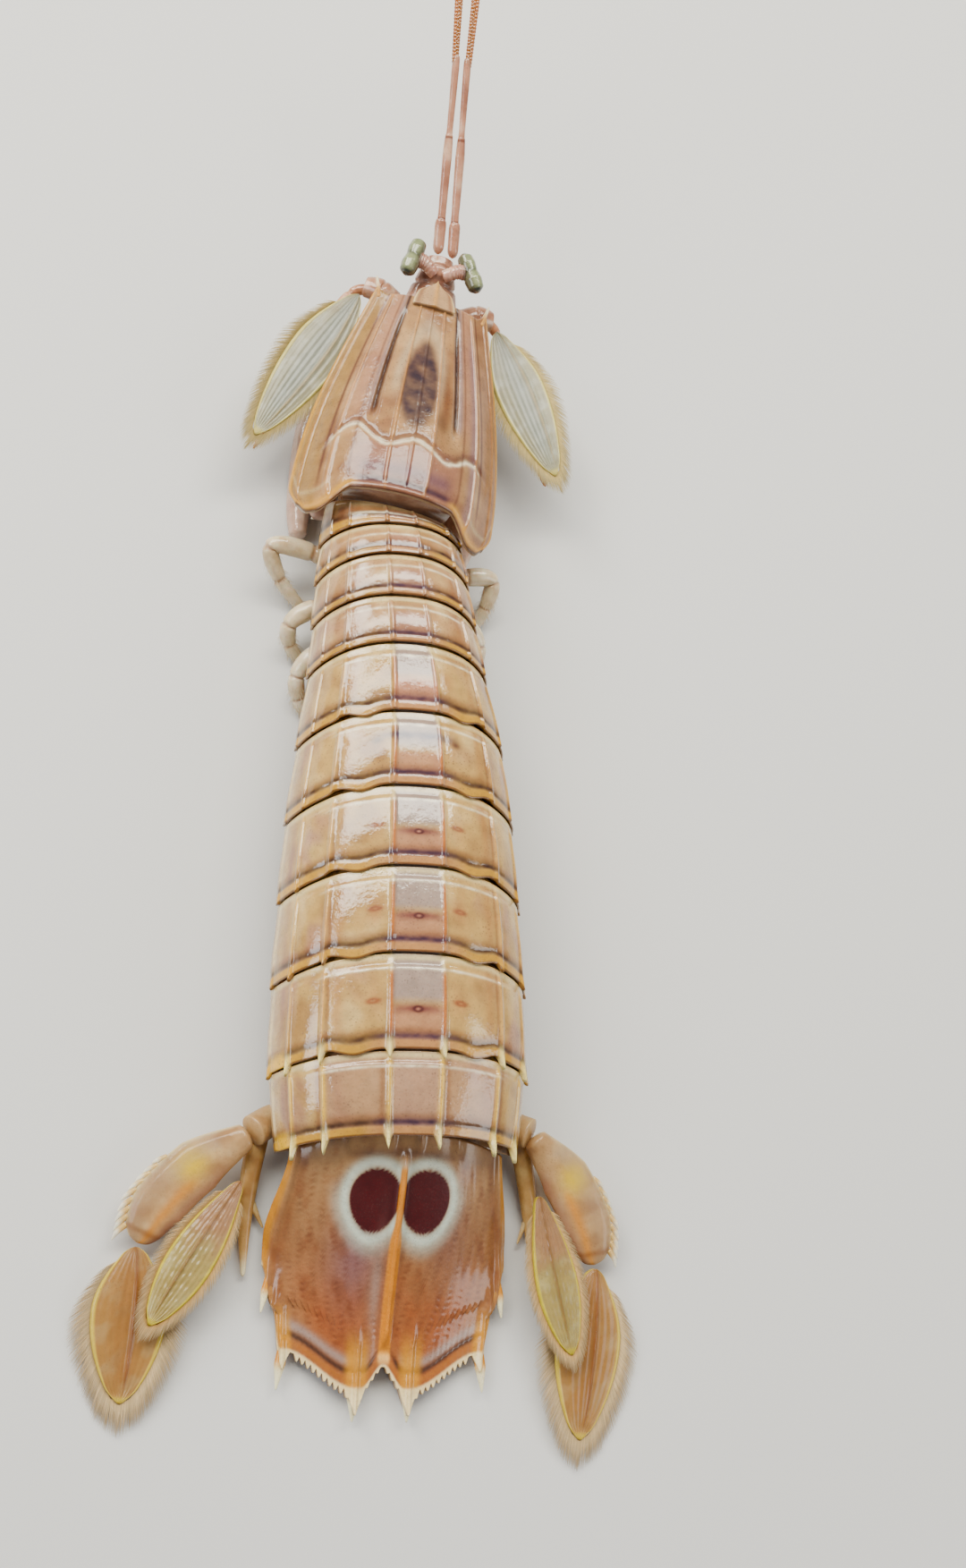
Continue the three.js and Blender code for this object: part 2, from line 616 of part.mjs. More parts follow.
// ---- striking claws, folded under the shield's side plates
const back = (x) => 0.9 + 1.1 * sin((x / 26) * PI) - 0.6 * (x / 24) ** 3;
for (const [name, s] of [["left", -1], ["right", 1]]) {
  add(
    `claw_arm_${name}`,
    tube([
      [s * 9.2, -0.6, 5.7, 1.0, 1.0],
      [s * 9.4, 1.5, 5.8, 2.0, 1.5],
      [s * 9.7, 8, 5.8, 2.6, 1.5],
      [s * 9.5, 17, 5.8, 2.6, 1.5],
      [s * 9.2, 25, 5.8, 2.1, 1.5],
      [s * 9.0, 28.6, 5.9, 1.4, 1.4],
    ], { steps: 10, sides: 8 }),
    palm,
    fore,
  );
  add(
    `claw_palm_${name}`,
    tube([
      [s * 9.6, 32.2, 4.6, 1.4, 1.5],
      [s * 10.2, 30.4, 2.9, 1.9, 1.7],
      [s * 11.4, 25, 1.75, 1.9, 2.0],
      [s * 12.6, 14, 1.75, 2.2, 2.05],
      [s * 12.2, 3, 1.75, 1.8, 1.95],
      [s * 11.4, -2.4, 1.7, 1.2, 1.6],
    ], { steps: 12, sides: 8, floor: 0 }),
    palm,
    fore,
  );
  // The finger: a curved blade with six teeth, the last of them its own point
  const stations = [[0, -0.9, 0.9]];
  for (let k = 4; k >= 0; k--) {
    const x = 20.4 - k * 4.1;
    stations.push([x - 0.5, 0.0, back(x)], [x + 0.8, -2.9 + 0.32 * k, back(x + 1)], [x + 1.0, -0.1, back(x + 1.1)]);
  }
  stations.push([24.5, -1.3, -0.9]);
  const blade = plateSolid(
    stations,
    [1, 2],
    (at, v) => [-s * at[v], at[0], 1.05],
    (at, v) => [-s * at[v], at[0], 0.1],
  );
  add(`claw_finger_${name}`, blade, limb, fore).position.set(s * 6.7, -0.5, 0.4);
}

// ---- small clawed mouth limbs, three pairs, folded under the forebody
for (const [name, s] of [["left", -1], ["right", 1]])
  for (let k = 0; k < 3; k++) {
    const y = 19 - 6.2 * k;
    add(
      `small_claw_${k + 1}_${name}`,
      fuse([
        tube([
          [s * 3.4, y - 2.4, 5.3, 0.9, 0.8],
          [s * 4.0, y, 4.3, 0.9, 0.8],
          [s * 3.5, y + 3.4, 3.3, 0.9, 0.8],
        ], { steps: 5, sides: 6 }),
        tube([
          [s * 3.4, y + 3.6, 3.1, 0.9, 0.8],
          [s * 2.4, y + 1.2, 2.2, 1.4, 0.8],
          [s * 1.8, y - 1.6, 1.8, 0.9, 0.6],
        ], { steps: 4, sides: 6 }),
      ]),
      limb,
      fore,
    );
  }

// ---- walking legs: slim, pale, with their feet on the ground
const stances = {
  left: [
    [[-6.6, 79.0, 5.8], [-11.4, 80.8, 5.8], [-17.6, 81.2, 6.4], [-16.2, 77.8, 3.4], [-12.6, 74.8, 0.35]],
    [[-6.8, 73.4, 5.8], [-11.0, 73.0, 5.6], [-14.6, 70.8, 4.6], [-14.4, 68.6, 2.2], [-12.6, 66.8, 0.35]],
    [[-7.0, 67.0, 5.8], [-10.8, 66.4, 5.4], [-13.4, 63.6, 4.0], [-13.0, 60.8, 2.0], [-11.4, 58.6, 0.35]],
  ],
  right: [
    [[4.8, 78.2, 5.8], [9.8, 79.4, 5.6], [14.0, 79.6, 5.0], [13.8, 76.4, 2.6], [12.2, 73.6, 0.35]],
    [[5.2, 73.0, 5.8], [9.4, 72.6, 5.4], [12.2, 70.2, 4.0], [12.0, 67.4, 2.0], [10.4, 65.2, 0.35]],
    [[5.8, 66.8, 5.8], [9.8, 66.0, 5.4], [12.4, 63.2, 4.0], [12.0, 60.4, 2.0], [10.4, 58.2, 0.35]],
  ],
};
for (const [name, legs] of Object.entries(stances))
  legs.forEach((points, k) => {
    const sizes = [1.25, 1.2, 1.05, 0.9, 0.7];
    add(
      `walking_leg_${k + 1}_${name}`,
      tube(points.map((p, i) => [...p, sizes[i], sizes[i]]), { steps: 10, sides: 7, floor: 0 }),
      limb,
    );
  });

// ---- swimming legs: five pairs of paddles folded back under the belly
for (const [name, s] of [["left", -1], ["right", 1]])
  for (let k = 0; k < 5; k++) {
    const ring = trunk[5 - k];
    const ahead = trunk[6 - k];
    const y = mix(ring.y, ahead.y, 0.62);
    const out = ring.w * 0.5;
    add(
      `swimming_leg_${k + 1}_${name}`,
      fuse([
        tube([
          [s * (out - 1.5), y, ring.belly - 1.5, 3.0, 1.0],
          [s * out, y - 1.2, 3.6, 3.8, 1.0],
          [s * (out + 0.6), y - 4.2, 1.5, 3.6, 0.8],
          [s * (out + 0.6), y - 6.6, 0.65, 3.0, 0.85],
          [s * (out + 0.6), y - 8.6, 0.6, 1.6, 0.8],
        ], { steps: 5, sides: 8, floor: 0 }),
        tube([
          [s * (out - 3.4), y - 0.6, 4.2, 1.5, 0.9],
          [s * (out - 4.6), y - 4.2, 1.6, 1.6, 0.8],
          [s * (out - 4.4), y - 7.6, 0.7, 0.9, 0.7],
        ], { steps: 4, sides: 6, floor: 0 }),
      ]),
      limb,
    );
  }

// The footprint's middle becomes the origin.
const bounds = new THREE.Box3().setFromObject(group, true);
const middle = bounds.getCenter(new THREE.Vector3());
group.position.set(-middle.x, -middle.y, -bounds.min.z);

export default group;
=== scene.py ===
import math

import bpy
import numpy as np
from mathutils import Matrix, Vector


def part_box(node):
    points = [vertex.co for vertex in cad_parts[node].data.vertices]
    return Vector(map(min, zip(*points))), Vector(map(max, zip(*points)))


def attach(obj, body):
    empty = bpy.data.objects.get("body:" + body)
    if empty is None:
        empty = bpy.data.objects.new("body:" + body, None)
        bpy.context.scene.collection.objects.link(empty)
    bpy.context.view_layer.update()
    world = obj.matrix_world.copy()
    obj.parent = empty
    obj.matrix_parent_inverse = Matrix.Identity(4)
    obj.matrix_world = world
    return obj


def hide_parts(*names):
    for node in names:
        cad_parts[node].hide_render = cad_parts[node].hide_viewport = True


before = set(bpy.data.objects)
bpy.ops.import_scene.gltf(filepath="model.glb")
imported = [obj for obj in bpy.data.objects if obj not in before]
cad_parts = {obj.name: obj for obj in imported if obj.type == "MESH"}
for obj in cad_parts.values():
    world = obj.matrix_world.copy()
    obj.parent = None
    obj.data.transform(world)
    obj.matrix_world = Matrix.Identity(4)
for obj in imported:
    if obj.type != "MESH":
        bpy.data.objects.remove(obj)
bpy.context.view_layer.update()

# All lengths are in millimetres along the animal, counted from the rear margin of the sixth
# ring of the abdomen. The fourth ring's own box tells how far the solids were moved from there.
fourthRingBack = 19.25
boxLow, boxHigh = (np.array(c) * 1000 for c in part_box("abdomen_4"))
shift = np.array([(boxLow[0] + boxHigh[0]) / 2, boxLow[1] - fourthRingBack, 0.0])


# A smooth step: t = (x - a) / (b - a) held between 0 and 1, then 3 t squared less 2 t cubed.
def ramp(x, a, b):
    t = np.clip((x - a) / (b - a), 0.0, 1.0)
    return t * t * (3 - 2 * t)


# A bell: e to the power of minus ((x - middle) / width) squared.
def hump(x, middle, width):
    return np.exp(-(((x - middle) / width) ** 2))


# a when t is 0 and b when t is 1: a + (b - a) t.
def mix(a, b, t):
    return a + (b - a) * t


# A colour code of six hex digits as linear light: ((c + 0.055) / 1.055) to the 2.4.
def linear(code):
    c = np.array([int(code[i : i + 2], 16) for i in (0, 2, 4)]) / 255
    return np.where(c < 0.04045, c / 12.92, ((c + 0.055) / 1.055) ** 2.4)


# A colour mixed into a tint by an amount between 0 and 1 for each point.
def blendIn(base, code, amount):
    return mix(base, linear(code), np.clip(amount, 0, 1)[..., None])


# Smooth irregularity: sums of sine waves in random directions, halved in size each octave.
def wobble(points, scale, seed, octaves=3):
    rng = np.random.default_rng(seed)
    total = np.zeros(points.shape[:-1])
    for octave in range(octaves):
        for _ in range(5):
            way = rng.normal(size=points.shape[-1])
            way /= np.linalg.norm(way)
            phase = rng.uniform(0, 2 * math.pi)
            total += np.sin(points @ way * (2 * math.pi * 2**octave / scale) + phase) / 2**octave
    return total / 4.5


# The shield and all in front of it are drawn straight and then turned with the bend of the neck.
shieldShape = dict(length=33.0, width=30.0, thickness=0.7, yaw=-0.165, place=(-1.8, 85.2, 0.0))
paint = dict(pigment=1.32)  # tints are raised to this power, so more is darker and richer


# x' = x cos(yaw) - y sin(yaw), y' = x sin(yaw) + y cos(yaw), then moved to the neck.
def foreToTrunk(points):
    c, s = math.cos(shieldShape["yaw"]), math.sin(shieldShape["yaw"])
    turn = np.array([[c, s, 0], [-s, c, 0], [0, 0, 1]])
    return points @ turn + np.array(shieldShape["place"])


# One mesh in metres with its tint and other values for each point, placed on the floor or above it.
def makeObject(name, points, quads, triangles, tint, extra, material, nodes, fore=False):
    if fore:
        points = foreToTrunk(points)
    inMetres = (points + shift) / 1000
    inMetres[:, 2] = np.maximum(0, inMetres[:, 2])
    mesh = bpy.data.meshes.new(name)
    faces = [*quads.tolist(), *triangles.tolist()]
    mesh.from_pydata(inMetres.tolist(), [], faces)
    attribute = mesh.color_attributes.new("tint", "FLOAT_COLOR", "POINT")
    rgba = np.ones((len(points), 4), np.float32)
    rgba[:, :3] = np.clip(tint, 0, 1) ** paint["pigment"]
    attribute.data.foreach_set("color", rgba.ravel())
    for key, values in (extra or {}).items():
        layer = mesh.attributes.new(key, "FLOAT", "POINT")
        layer.data.foreach_set("value", np.asarray(values, np.float32).ravel())
    mesh.polygons.foreach_set("use_smooth", np.full(len(faces), True))
    mesh.update()
    thing = bpy.data.objects.new(name, mesh)
    bpy.context.scene.collection.objects.link(thing)
    mesh.materials.append(material)
    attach(thing, "root")
    if nodes:
        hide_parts(*nodes)
    return thing


# Four-sided faces between neighbouring closed rings.
def ringQuads(rows, columns, start=0):
    r, c = np.meshgrid(np.arange(rows - 1), np.arange(columns), indexing="ij")
    n = (c + 1) % columns
    return np.stack([r * columns + c, r * columns + n, (r + 1) * columns + n, (r + 1) * columns + c], -1).reshape(
        -1, 4
    ) + start


# Parts gathered into one mesh. Each is a stack of closed rings. Its ends are capped by a fan,
# or by a strip where a ring is an upper row followed by the lower row run back.
class Gather:
    def __init__(self):
        self.points, self.quads, self.triangles, self.tints, self.extras, self.count = [], [], [], [], {}, 0

    def loft(self, rings, tint, strip=False, **extras):
        rows, columns = rings.shape[:2]
        points = rings.reshape(-1, 3)
        tint = np.broadcast_to(tint, rings.shape)
        tints = tint.reshape(-1, 3)
        quads = ringQuads(rows, columns)
        last = (rows - 1) * columns
        if strip:
            k = np.arange(1, columns // 2 - 1)
            cap = np.concatenate(
                [
                    np.stack([k, k + 1, columns - k - 1], -1),
                    np.stack([k, columns - k - 1, columns - k], -1),
                    [[0, 1, columns - 1], [columns // 2 - 1, columns // 2, columns // 2 + 1]],
                ]
            )
            triangles = np.concatenate([cap[:, ::-1], cap + last])
        else:
            points = np.concatenate([points, rings[0].mean(0)[None], rings[-1].mean(0)[None]])
            tints = np.concatenate([tints, tint[0].mean(0)[None], tint[-1].mean(0)[None]])
            i = np.arange(columns)
            j = (i + 1) % columns
            a, b = rows * columns, rows * columns + 1
            triangles = np.concatenate(
                [np.stack([np.full(columns, a), j, i], -1), np.stack([np.full(columns, b), last + i, last + j], -1)]
            )
        corner = points[quads]
        volume = np.einsum("ij,ij->i", corner[:, 0], np.cross(corner[:, 1], corner[:, 2])).sum()
        volume += np.einsum("ij,ij->i", corner[:, 0], np.cross(corner[:, 2], corner[:, 3])).sum()
        corner = points[triangles]
        volume += np.einsum("ij,ij->i", corner[:, 0], np.cross(corner[:, 1], corner[:, 2])).sum()
        if volume < 0:
            quads, triangles = quads[:, ::-1], triangles[:, ::-1]
        self.points.append(points)
        self.quads.append(quads + self.count)
        self.triangles.append(triangles + self.count)
        self.tints.append(tints)
        for key in {*extras, *self.extras}:
            value = np.broadcast_to(extras.get(key, 0.0), rings.shape[:2])
            full = value.ravel() if strip else np.concatenate([value.ravel(), [value[0].mean()], [value[-1].mean()]])
            self.extras.setdefault(key, [np.zeros(self.count)] if self.count else []).append(full)
        self.count += len(points)
        return self

    def make(self, name, material, slot, nodes, fore=False):
        return makeObject(
            name,
            np.concatenate(self.points),
            np.concatenate(self.quads),
            np.concatenate(self.triangles),
            np.concatenate(self.tints),
            {k: np.concatenate(v) for k, v in self.extras.items()},
            material,
            nodes,
            fore,
        )


# A point on a smooth curve through the stops: cubic pieces whose slopes are half the chord
# between the two neighbours. Sizes go linearly from stop to stop.
def curveThrough(stops, count):
    stops = np.array(stops, float)
    t = np.linspace(0, len(stops) - 1, count)
    i = np.minimum(t.astype(int), len(stops) - 2)
    f = (t - i)[:, None]
    p = stops[:, :3]
    ext = np.concatenate([2 * p[:1] - p[1:2], p, 2 * p[-1:] - p[-2:-1]])
    a, b, c, d = ext[i], ext[i + 1], ext[i + 2], ext[i + 3]
    middle = 0.5 * (2 * b + (c - a) * f + (2 * a - 5 * b + 4 * c - d) * f**2 + (3 * b - a - 3 * c + d) * f**3)
    sizes = mix(stops[i, 3:5], stops[i + 1, 3:5], f)
    along = np.gradient(middle, axis=0)
    along /= np.linalg.norm(along, axis=1, keepdims=True) + 1e-9
    side = np.cross(along, [0, 0, 1.0])
    weak = np.linalg.norm(side, axis=1) < 0.1
    side[weak] = [1, 0, 0]
    side /= np.linalg.norm(side, axis=1, keepdims=True)
    top = np.cross(side, along)
    return middle, along, side, top, sizes, t / (len(stops) - 1)


# shape(t, g) multiplies the radius at a place along and round the tube.
def tubeRings(stops, rows=60, sides=28, floor=None, shape=None, roundEnds=True):
    middle, along, side, top, sizes, t = curveThrough(stops, rows)
    g = np.arange(sides) / sides * 2 * math.pi
    swell = np.ones((rows, sides)) if shape is None else shape(t[:, None], g[None, :])
    if roundEnds:
        swell = swell * np.sqrt(np.clip(1 - (1 - np.minimum(1, np.minimum(t, 1 - t) / 0.03)) ** 2, 0.02, 1))[:, None]
    rings = (
        middle[:, None]
        + side[:, None] * (sizes[:, :1] * np.cos(g) * swell)[..., None]
        + top[:, None] * (sizes[:, 1:] * np.sin(g) * swell)[..., None]
    )
    if floor is not None:
        rings[..., 2] = np.maximum(floor, rings[..., 2])
    return rings, t, g


# Slim tapered hairs in one mesh: from root to tip with a bend, each a three-sided spike.
def hairPoints(roots, tips, radius, bend=None, segments=3):
    count = len(roots)
    line = tips - roots
    along = line / (np.linalg.norm(line, axis=1, keepdims=True) + 1e-9)
    side = np.cross(along, [0.13, 0.21, 1.0])
    side /= np.linalg.norm(side, axis=1, keepdims=True) + 1e-9
    top = np.cross(side, along)
    t = np.linspace(0, 1, segments)[None, :, None, None]
    g = (np.arange(3) / 3 * 2 * math.pi)[None, None, :, None]
    size = (np.broadcast_to(radius, count)[:, None, None, None]) * (1 - 0.93 * t)
    bent = 0 if bend is None else bend[:, None, None, :] * (t**2)
    p = roots[:, None, None] + line[:, None, None] * t + bent
    p = p + size * (np.cos(g) * side[:, None, None] + np.sin(g) * top[:, None, None])
    flat = p.reshape(count, -1, 3)
    local = []
    for r in range(segments - 1):
        for k in range(3):
            n = (k + 1) % 3
            local.append([r * 3 + k, r * 3 + n, (r + 1) * 3 + n, (r + 1) * 3 + k])
    caps = [[2, 1, 0], [(segments - 1) * 3 + k for k in range(3)]]
    offsets = np.arange(count)[:, None, None] * segments * 3
    quads = (np.array(local)[None] + offsets).reshape(-1, 4)
    triangles = (np.array(caps)[None] + offsets).reshape(-1, 3)
    way = np.broadcast_to(t[..., 0], (count, segments, 3)).reshape(-1)
    return flat.reshape(-1, 3), quads, triangles, way


# Hairs with a tint from root to tip, and a map that gives each hair its own square.
def makeHairs(name, roots, tips, radius, rootCode, tipCode, material, bend=None, fore=False, clear=0.5, seed=3):
    points, quads, triangles, way = hairPoints(roots, tips, radius, bend)
    tint = mix(linear(rootCode), linear(tipCode), way[:, None])
    own = np.repeat(np.random.default_rng(seed).uniform(0.85, 1.1, len(roots)), 9)
    thing = makeObject(
        name, points, quads, triangles, tint * own[:, None], {"clear": way * clear}, material, (), fore
    )
    layer = thing.data.uv_layers.new(name="OFBake")
    loops = np.zeros(len(thing.data.loops), np.int32)
    thing.data.loops.foreach_get("vertex_index", loops)
    hair, local = loops // 9, loops % 9
    side = math.ceil(math.sqrt(len(roots)))
    across = hair % side + 0.2 + (local % 3) * 0.25
    up = hair // side + 0.1 + (local // 3) * 0.4
    uv = np.stack([across / side, up / side], -1)
    layer.data.foreach_set("uv", uv.astype(np.float32).ravel())
    return thing


# An empty shader group with its sockets.
def newGroup(name, inputs, outputs):
    group = bpy.data.node_groups.new(name, "ShaderNodeTree")
    for label, kind, value in inputs:
        socket = group.interface.new_socket(label, in_out="INPUT", socket_type=kind)
        socket.default_value = value
    for label, kind in outputs:
        group.interface.new_socket(label, in_out="OUTPUT", socket_type=kind)
    return group, group.nodes.new("NodeGroupInput"), group.nodes.new("NodeGroupOutput")


# A node with its settings, and its inputs linked or set.
def addNode(tree, kind, links=None, **settings):
    node = tree.nodes.new(kind)
    for key, value in settings.items():
        setattr(node, key, value)
    for key, value in (links or {}).items():
        socket = node.inputs[key]
        if isinstance(value, bpy.types.NodeSocket):
            tree.links.new(value, socket)
        else:
            socket.default_value = value
    return node


# Pigment specks: cells of a Voronoi pattern whose distance to the nearest point is small.
# Cloudy mottling: two noises. Pits: the smooth distance of finer cells, as height.
def chitinPattern():
    group, gin, gout = newGroup(
        "chitinPattern",
        [
            ("Tint", "NodeSocketColor", (0.5, 0.4, 0.3, 1)),
            ("Speck colour", "NodeSocketColor", (0.1, 0.05, 0.03, 1)),
            ("Speck size", "NodeSocketFloat", 2200.0),
            ("Speck amount", "NodeSocketFloat", 0.5),
            ("Mottle", "NodeSocketFloat", 0.25),
            ("Pit size", "NodeSocketFloat", 2600.0),
        ],
        [("Colour", "NodeSocketColor"), ("Height", "NodeSocketFloat"), ("Rough", "NodeSocketFloat"),
         ("Ripple", "NodeSocketFloat")],
    )
    place = addNode(group, "ShaderNodeTexCoord").outputs["Object"]
    cells = addNode(
        group,
        "ShaderNodeTexVoronoi",
        {"Vector": place, "Scale": gin.outputs["Speck size"], "Randomness": 1.0},
    )
    near = addNode(
        group,
        "ShaderNodeMapRange",
        {"Value": cells.outputs["Distance"], "From Min": 0.16, "From Max": 0.34, "To Min": 1.0, "To Max": 0.0},
    )
    cloud = addNode(group, "ShaderNodeTexNoise", {"Vector": place, "Scale": 260.0, "Detail": 5.0, "Roughness": 0.6})
    patchy = addNode(
        group,
        "ShaderNodeMapRange",
        {"Value": cloud.outputs["Fac"], "From Min": 0.42, "From Max": 0.68, "To Min": 0.15, "To Max": 1.0},
    )
    amount = addNode(group, "ShaderNodeMath", {0: near.outputs[0], 1: patchy.outputs[0]}, operation="MULTIPLY")
    wished = gin.outputs["Speck amount"]
    amount = addNode(group, "ShaderNodeMath", {0: amount.outputs[0], 1: wished}, operation="MULTIPLY")
    broad = addNode(group, "ShaderNodeTexNoise", {"Vector": place, "Scale": 620.0, "Detail": 6.0, "Roughness": 0.65})
    lightness = addNode(
        group,
        "ShaderNodeMapRange",
        {"Value": broad.outputs["Fac"], "From Min": 0.3, "From Max": 0.7, "To Min": 0.72, "To Max": 1.22},
    )
    shaded = addNode(
        group,
        "ShaderNodeVectorMath",
        {0: gin.outputs["Tint"], "Scale": lightness.outputs[0]},
        operation="SCALE",
    )
    mixA = group.nodes.new("ShaderNodeMix")
    mixA.data_type = "RGBA"
    group.links.new(gin.outputs["Mottle"], mixA.inputs[0])
    group.links.new(gin.outputs["Tint"], mixA.inputs[6])
    group.links.new(shaded.outputs[0], mixA.inputs[7])
    mixB = group.nodes.new("ShaderNodeMix")
    mixB.data_type = "RGBA"
    group.links.new(amount.outputs[0], mixB.inputs[0])
    group.links.new(mixA.outputs[2], mixB.inputs[6])
    group.links.new(gin.outputs["Speck colour"], mixB.inputs[7])
    pits = addNode(
        group,
        "ShaderNodeTexVoronoi",
        {"Vector": place, "Scale": gin.outputs["Pit size"], "Randomness": 1.0},
        feature="SMOOTH_F1",
    )
    fine = addNode(group, "ShaderNodeTexNoise", {"Vector": place, "Scale": 1500.0, "Detail": 4.0})
    height = addNode(group, "ShaderNodeMath", {0: pits.outputs["Distance"], 1: fine.outputs["Fac"]}, operation="ADD")
    rough = addNode(
        group,
        "ShaderNodeMapRange",
        {"Value": cloud.outputs["Fac"], "From Min": 0.3, "From Max": 0.7, "To Min": 0.7, "To Max": 1.5},
    )
    group.links.new(mixB.outputs[2], gout.inputs["Colour"])
    group.links.new(height.outputs[0], gout.inputs["Height"])
    group.links.new(rough.outputs[0], gout.inputs["Rough"])
    slow = addNode(group, "ShaderNodeTexNoise", {"Vector": place, "Scale": 760.0, "Detail": 4.0, "Roughness": 0.6})
    group.links.new(slow.outputs["Fac"], gout.inputs["Ripple"])
    return group


pattern = chitinPattern()


# A shell under a wet film: the pattern colours and pits the shell, a second bump ripples the film.
def chitin(name, **wanted):
    s = dict(
        speckColour=(0.07, 0.03, 0.025, 1),
        speckSize=2300.0,
        speckAmount=0.5,
        mottle=0.5,
        pitSize=2600.0,
        bump=0.18,
        roughness=0.42,
        coat=1.0,
        coatRoughness=0.04,
        coatIor=1.62,
        ripple=0.22,
        subsurface=0.14,
        subsurfaceSize=0.0009,
        innerGloss=0.18,
        translucent=0.0,
        clearMost=0.0,
    )
    s.update(wanted)
    material = bpy.data.materials.new(name)
    material.use_nodes = True
    tree = material.node_tree
    shader = tree.nodes["Principled BSDF"]
    tint = addNode(tree, "ShaderNodeAttribute", attribute_name="tint")
    marks = addNode(
        tree,
        "ShaderNodeGroup",
        node_tree=pattern,
    )
    tree.links.new(tint.outputs["Color"], marks.inputs["Tint"])
    marks.inputs["Speck colour"].default_value = s["speckColour"]
    marks.inputs["Speck size"].default_value = s["speckSize"]
    marks.inputs["Speck amount"].default_value = s["speckAmount"]
    marks.inputs["Mottle"].default_value = s["mottle"]
    marks.inputs["Pit size"].default_value = s["pitSize"]
    tree.links.new(marks.outputs["Colour"], shader.inputs["Base Color"])
    rough = addNode(tree, "ShaderNodeMath", {0: marks.outputs["Rough"], 1: s["roughness"]}, operation="MULTIPLY")
    tree.links.new(rough.outputs[0], shader.inputs["Roughness"])
    pits = {"Strength": s["bump"], "Distance": 0.0002, "Height": marks.outputs["Height"]}
    relief = addNode(tree, "ShaderNodeBump", pits)
    tree.links.new(relief.outputs[0], shader.inputs["Normal"])
    shader.inputs["Coat Weight"].default_value = s["coat"]
    shader.inputs["Coat Roughness"].default_value = s["coatRoughness"]
    shader.inputs["Subsurface Weight"].default_value = s["subsurface"]
    shader.inputs["Subsurface Radius"].default_value = (1.0, 0.55, 0.35)
    shader.inputs["Subsurface Scale"].default_value = s["subsurfaceSize"]
    shader.inputs["IOR"].default_value = 1.45
    shader.inputs["Specular IOR Level"].default_value = s["innerGloss"]
    shader.inputs["Coat IOR"].default_value = s["coatIor"]
    if s["ripple"]:
        waves = {"Strength": s["ripple"], "Distance": 0.0003, "Height": marks.outputs["Ripple"]}
        film = addNode(tree, "ShaderNodeBump", waves)
        tree.links.new(film.outputs[0], shader.inputs["Coat Normal"])
    if s["translucent"] or s["clearMost"]:
        output = tree.nodes["Material Output"]
        through = addNode(tree, "ShaderNodeBsdfTranslucent", {"Color": marks.outputs["Colour"]})
        glow = {0: s["translucent"], 1: shader.outputs[0], 2: through.outputs[0]}
        first = addNode(tree, "ShaderNodeMixShader", glow)
        gone = addNode(tree, "ShaderNodeBsdfTransparent")
        clear = addNode(tree, "ShaderNodeAttribute", attribute_name="clear")
        share = addNode(tree, "ShaderNodeMath", {0: clear.outputs["Fac"], 1: s["clearMost"]}, operation="MULTIPLY")
        second = addNode(tree, "ShaderNodeMixShader", {0: share.outputs[0], 1: first.outputs[0], 2: gone.outputs[0]})
        tree.links.new(second.outputs[0], output.inputs["Surface"])
    return material


shellMaterial = chitin("wetShell", speckAmount=0.5, mottle=0.6)
tailMaterial = chitin(
    "tailShell", speckAmount=0.35, mottle=0.5, bump=0.2, speckSize=2800.0, coat=0.6, coatRoughness=0.16, ripple=0.04
)
bladeMaterial = chitin(
    "blades", speckAmount=0.25, mottle=0.4, translucent=0.3, clearMost=0.7, speckSize=2600.0, coat=0.6
)
fringeMaterial = chitin(
    "bristles", speckAmount=0.0, mottle=0.15, translucent=0.35, clearMost=0.9, coat=0.2, bump=0.0, subsurface=0.0
)
clawMaterial = chitin("clawShell", speckAmount=0.4, mottle=0.5, subsurface=0.4)
limbMaterial = chitin("paleLimb", speckAmount=0.2, mottle=0.4, subsurface=0.5, translucent=0.15)
feelerMaterial = chitin("feelers", speckAmount=0.3, mottle=0.4, subsurface=0.4, translucent=0.15)
eyeMaterial = chitin(
    "cornea", speckAmount=0.0, mottle=0.3, bump=0.25, pitSize=7000.0, roughness=0.2, coat=1.0, subsurface=0.1
)
print("materials done")

# Trunk rings. Ridge places are degrees round from the crown.
ringShape = dict(
    lip=0.5,
    socketDepth=1.6,
    ridgeHeight=0.40,
    submedian=11.7,
    intermediate=43.0,
    lateral=64.0,
    marginal=84.0,
)
# each ring: rear margin y, half width w, height of the crown, of the lower edge and of the belly,
# and how far the margin sweeps back at the sides
trunk = [
    dict(name="abdomen_6", y=0.0, w=15.7, top=16.4, edge=5.6, belly=6.2, sweep=1.4),
    dict(name="abdomen_5", y=10.4, w=17.0, top=18.4, edge=6.2, belly=7.0, sweep=2.2),
    dict(name="abdomen_4", y=22.5, w=16.9, top=19.2, edge=6.4, belly=7.2, sweep=3.2),
    dict(name="abdomen_3", y=33.7, w=16.3, top=19.4, edge=6.6, belly=7.3, sweep=3.4),
    dict(name="abdomen_2", y=44.4, w=15.6, top=19.2, edge=6.8, belly=7.3, sweep=3.4),
    dict(name="abdomen_1", y=54.6, w=14.3, top=18.8, edge=7.2, belly=7.4, sweep=3.2),
    dict(name="thorax_8", y=64.3, w=12.5, top=18.2, edge=7.8, belly=7.4, sweep=2.8),
    dict(name="thorax_7", y=71.2, w=11.6, top=17.7, edge=8.0, belly=7.4, sweep=2.6),
    dict(name="thorax_6", y=77.4, w=10.9, top=17.2, edge=8.0, belly=7.4, sweep=2.4),
    dict(name="thorax_5", y=82.2, w=10.2, top=16.2, edge=8.2, belly=7.4, sweep=1.6),
    dict(name="front", y=85.4, w=9.4, top=15.0, edge=8.4, belly=7.4, sweep=0.0),
]
for part in trunk:
    part["shift"] = -1.5 * float(ramp(np.float64(part["y"]), 50, 86))
    part["yaw"] = 0.0
trunk[-1].update(shift=-1.7, yaw=-shieldShape["yaw"])
